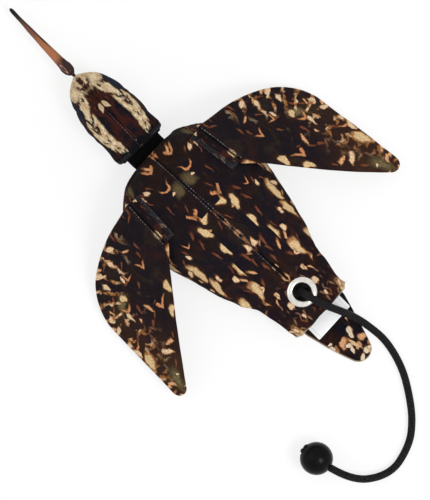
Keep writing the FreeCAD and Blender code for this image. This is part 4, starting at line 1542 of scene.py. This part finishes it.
head_left = head_cloth("head_panel_left_cloth", 1)
head_right = head_cloth("head_panel_right_cloth", -1)
for item, node in ((head_left, "head_panel_left"), (head_right, "head_panel_right")):
    ease(item, head_held, 0.022, 8.0, head_free)
    thicken(item, HEAD_CLOTH_THICKNESS, edge_slot=1)
    settle(item, "head", node, 0.9)
head_overlock = settle(thread_mesh("head_base_overlock", base_overlock(), 0.22 * MM), "head")
head_fill = filling("head_filling", head_fill_point, [9.5, 11, 13, 17, 24, 32, 40, 48, 56, 62, 67, 70], 32)
body_fill = filling("body_filling", body_fill_point,
                    [24, 30, 38, 48, 60, 74, 88, 100, 112, 122, 130, 136, 141], 40)
settle(head_fill, "head", "head_stuffing", 0.9)
settle(body_fill, "body", "body_stuffing", 0.9)


# ---------------------------------------------------------------- neck strap

STRAP_STEP = 0.5
STRAP_WIDTH = 30.0
STRAP_LEVEL = 18.5
STRAP_HALF_THICK = 1.05
STRAP_TURNS_AT = 151.2  # where the front piece swings from the body's line to the head's


def strap_piece(name, start, end, turned):
    """A length of webbing from one reach to another, with thick selvedges."""
    rows = []
    cloth = []
    steps = int((end - start) / STRAP_STEP)
    ring = []
    for i in range(41):
        side = -1 + 2 * i / 40
        selvedge = 0.14 * bell(abs(side), 0.95, 0.04)
        ring.append((side, STRAP_HALF_THICK * max(1 - side ** 14, 0) ** 0.5 + selvedge))
    section = ring + [(side, -rise) for side, rise in reversed(ring[1:-1])]
    for i in range(steps + 1):
        reach = start + (end - start) * i / steps
        turn = math.tan(-HEAD_SKEW) * ramp(reach, 149, 153) if turned else 0
        row = []
        lay = []
        for side, rise in section:
            across = side * STRAP_WIDTH / 2
            height = STRAP_LEVEL + rise + 0.25 * ripple(reach, across, 9, 4.0)
            row.append(place(reach + turn * across, across - turn * (reach - STRAP_TURNS_AT), height))
            lay.append((reach * MM, across * MM))
        rows.append(row)
        cloth.append(lay + [lay[0]])
    return cloth_grid(name, rows, cloth, closed=True, flipped=True)


neck_rear = strap_piece("neck_webbing_rear", 135, 149.6, False)
neck_front = strap_piece("neck_webbing_front", 149.5, 166, True)
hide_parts("neck_strap_rear_end")
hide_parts("neck_strap_front_end", "neck_strap")
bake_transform(neck_rear)
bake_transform(neck_front)


# ---------------------------------------------------------------- bill

BILL_TURNS = HEAD_TURN @ Matrix.Rotation(math.radians(6), 3, "Y")
# Way along the bill from its root, half-width and half-height
BILL_SHAPE = [
    (-3.0, 1.0, 0.8),
    (-1.2, 1.15, 1.0),
    (0.4, 1.3, 1.15),
    (2.2, 2.9, 2.1),
    (4.4, 4.0, 3.0),
    (7.6, 4.35, 3.5),
    (11.5, 3.75, 3.3),
    (16.5, 3.4, 3.0),
    (24, 3.1, 2.7),
    (32, 2.65, 2.3),
    (40, 2.3, 2.0),
    (48, 2.0, 1.75),
    (58, 1.55, 1.4),
    (65, 1.5, 1.3),
    (67, 1.1, 0.95),
    (67.8, 0.4, 0.35),
]
BILL_SIDES = 36


def make_bill():
    """The tapered bill, with a faint ridge along its top and a fold at its root."""
    root = Vector(joints["bill_flex"]["pos_m"])
    ways = ([-3.0 + 0.5 * i for i in range(24)] + [9 + 1.0 * i for i in range(57)]
            + [65.4, 66, 66.6, 67.1, 67.5, 67.8])
    rows = []
    cloth = []
    for way in ways:
        half, tall = smooth_row(BILL_SHAPE, way)
        bow = 0.35 * math.sin(way / 68 * math.pi)
        row = []
        lay = []
        for j in range(BILL_SIDES):
            a = 2 * math.pi * j / BILL_SIDES
            from_top = abs(math.atan2(math.sin(a), math.cos(a)))
            ridge = 0.16 * tall * bell(from_top, 0, 0.35)
            pinch = 1 - 0.12 * bell(abs(math.sin(a)), 1, 0.2) * ramp(way, 4, 14)
            dent = 0.10 * bell(way, 7, 4) * bell(from_top, 0.75, 0.3) * half
            wrinkle = 0.06 * math.sin(way * 3.1 + 2 * math.sin(a)) * bell(way, 1.5, 2.2) * half
            lump = 0.05 * half * ripple(way, a * 3, 7, 2.0)
            # Each of these is a length, and acts as a share of the half-width.
            size = 1 + (lump + wrinkle - dent) / max(half, 0.3)
            side = half * math.sin(a) * size
            height = (tall + ridge) * math.cos(a) * pinch * size
            row.append(root + BILL_TURNS @ Vector((way, side + bow, height)) * MM)
            lay.append((way * MM, a / (2 * math.pi)))
        rows.append(row)
        cloth.append(lay + [(way * MM, 1.0)])
    skin = cloth_grid("bill_skin", rows, cloth, closed=True, flipped=True)
    mesh = skin.data
    grid = bmesh.new()
    grid.from_mesh(mesh)
    bmesh.ops.holes_fill(grid, edges=[edge for edge in grid.edges if edge.is_boundary], sides=40)
    grid.to_mesh(mesh)
    grid.free()
    mesh.shade_smooth()
    return settle(skin, "bill", "bill")


bill = make_bill()


# ---------------------------------------------------------------- tail tongue and label

TONGUE_OUTLINE = [
    (-59.5, 9.3, 9.7),
    (-58.0, -8.6),
    (-40, -15.6),
    (-24, -20.6),
    (25, -20.6),
    (25, 20.6),
    (-24, 20.4),
    (-40, 16.0),
]


TONGUE_MIDDLE = 1.14  # the height of its middle over its underside
LABEL_OUTLINE = [(-32.8, -16.6), (-12.2, -16.6), (-12.2, 16.6), (-32.8, 16.6)]
LABEL_LIFT = 2.39  # the height of the label over the tongue's underside


def tongue_point(reach, side, rise):
    """A point over the tongue's underside, which comes down from its fold to the surface."""
    fold = 5.9 * ramp(reach, 8, 27)
    lift = 0.5 * (1 + ripple(reach, side, 16, 21.0)) * ramp(-reach, 10, 30)
    sway = 2.2 * ramp(-reach, 0, 60)
    return place(reach - 3.6 * ramp(-reach, 22, 58), side + sway, fold + lift + rise)


def tongue_cloth(name, layout, upper):
    """One of the tongue's two cloths, rounded at its edge."""
    def shape(reach, side, distance):
        swell = 0.98 * round_edge(distance, 0.8) + 0.15 * bell(distance, 1.6, 0.8)
        return tongue_point(reach, side, TONGUE_MIDDLE + (1 if upper else -1) * swell)

    return cut_cloth(name, layout, shape, flipped=not upper)


TONGUE_LAYOUT = lay_out(rounded(outline_points(TONGUE_OUTLINE, 1.0), 2), 1.8, (0.4, 0.9, 1.6, 2.6))
tongue_upper, tongue_lower = (
    settle(tongue_cloth(f"tail_{layer}_cloth", TONGUE_LAYOUT, layer == "upper"), "tail",
           f"tail_{layer}_panel", 0.3) for layer in ("upper", "lower"))


def make_label():
    """The bare woven label, whose ends curl up a little from the tongue."""
    edge = rounded(outline_points(LABEL_OUTLINE, 0.8), 1)

    def shape(reach, side, distance):
        curl = 0.9 * ramp(abs(side), 11, 16.6) * (0.6 + 0.4 * ripple(reach, side, 9, 3.0))
        wave = 0.3 * (1 + ripple(reach, side, 14, 6.0))
        return tongue_point(reach, side - 0.6, LABEL_LIFT + curl * 0.7 + wave * 0.5)

    item = cut_cloth("woven_label", lay_out(edge, 1.2, (0.4, 0.9)), shape)
    settle(thicken(item, 0.35), "tail", "label")
    return item


label = make_label()


# ---------------------------------------------------------------- stitches along the seams

SEAM_STEP = 0.6


def seam_line(start, end, point):
    """A line along a seam, through the point that a function gives for each place on the way."""
    return [point(start + SEAM_STEP * i) for i in range(int((end - start) / SEAM_STEP) + 1)]


def beside_back_seam(side, wander):
    """Gives points on the back at a distance beside its seam, which wander a little."""
    def point(reach):
        off = side + wander * ripple(reach, side, 11, 5.0)
        return place(reach, off, back_height(reach, off))

    return point


def beside_crown_seam(along):
    """A point on the crown, just to the left of its seam."""
    return head_point(along, 0.9 / smooth_row(HEAD_SHAPE, along)[0] / math.pi, 1)


back_runs = (stitch_runs(seam_line(14, 143, beside_back_seam(1.15, 0.25)), 1.5, 0.9, UP)
             + stitch_runs(seam_line(52, 118, beside_back_seam(-1.2, 0.3)), 1.4, 1.0, UP))
back_stitches = settle(thread_mesh("back_seam_stitches", back_runs, 0.32 * MM), "body")
crown_runs = stitch_runs(seam_line(7, 40, beside_crown_seam), 1.3, 0.9, UP)
head_stitches = settle(thread_mesh("crown_seam_stitches", crown_runs, 0.24 * MM), "head")


def frayed_runs():
    """Loose threads along the flange's cut rear edge, most of them at its two corners."""
    rng = random.Random(53)
    runs = []
    for mirror, first, count in ((1, 0.55, 34), (-1, 0.75, 16)):
        for _ in range(count):
            share = first + (1 - first) * math.sqrt(rng.random())
            upper = rng.random() < 0.6
            root = body_point(-20.8, share, upper, mirror)
            inner = body_point(-19.8, share, upper, mirror)
            way = (root - inner).normalized()
            way += Vector((rng.uniform(-0.5, 0.5), rng.uniform(-0.9, 0.9), rng.uniform(-0.25, 0.4)))
            curl = Vector((rng.uniform(-0.5, 0.5), rng.uniform(-0.7, 0.7), rng.uniform(-0.4, 0.2)))
            length = rng.uniform(0.6, 1.7) * MM
            runs.append([root + way.normalized() * length * k + curl * length * k * k * 0.5
                         for k in (-0.3, 0.2, 0.6, 1.0)])
    return runs


fray = settle(thread_mesh("flange_frayed_threads", frayed_runs(), 0.11 * MM, sides=5), "body")


# ---------------------------------------------------------------- finishes on their pieces

NICKEL = nickel_finish()
BODY_PRINT = body_print()
WING_PRINT = wing_print()
RAW_EDGE = raw_canvas()
SEAM_THREAD = thread_finish("grey_seam_thread", (0.02, 0.018, 0.02), (0.26, 0.25, 0.27))
OVERLOCK_THREAD = thread_finish("black_overlock_thread", (0.0013, 0.0013, 0.0018), (0.034, 0.036, 0.048))
FOAM = fill_finish("soft_wing_foam", (0.55, 0.54, 0.5), (0.7, 0.69, 0.65))


def finish(*pieces, by):
    """Puts a list of materials on each of the pieces."""
    for item in pieces:
        for material in by:
            item.data.materials.append(material)


dress("eyelet", NICKEL)
dress("eyelet_washer", NICKEL)
dress("throw_ball", ball_finish())
finish(cord, stopper, end_knot, by=[braid_finish()])
finish(back_left, back_right, belly, by=[BODY_PRINT, RAW_EDGE])
finish(head_left, head_right, by=[head_print(), RAW_EDGE])
for upper, lower, core, seam, tab, overlock in (left_wing, right_wing):
    finish(upper, lower, by=[WING_PRINT])
    finish(tab, by=[BODY_PRINT])
    finish(core, by=[FOAM])
    finish(seam, by=[SEAM_THREAD])
    finish(overlock, by=[OVERLOCK_THREAD])
finish(head_overlock, by=[OVERLOCK_THREAD])
finish(tongue_upper, tongue_lower, by=[tail_print()])
finish(label, by=[label_finish()])
finish(head_fill, body_fill, by=[fill_finish("polyester_filling", (0.6, 0.59, 0.56), (0.88, 0.87, 0.85))])
finish(neck_rear, neck_front, by=[webbing_finish()])
finish(back_stitches, head_stitches, by=[SEAM_THREAD])
finish(fray, by=[thread_finish("frayed_canvas_thread", (0.2, 0.15, 0.1), (0.62, 0.53, 0.4))])
finish(bill, by=[bill_finish()])
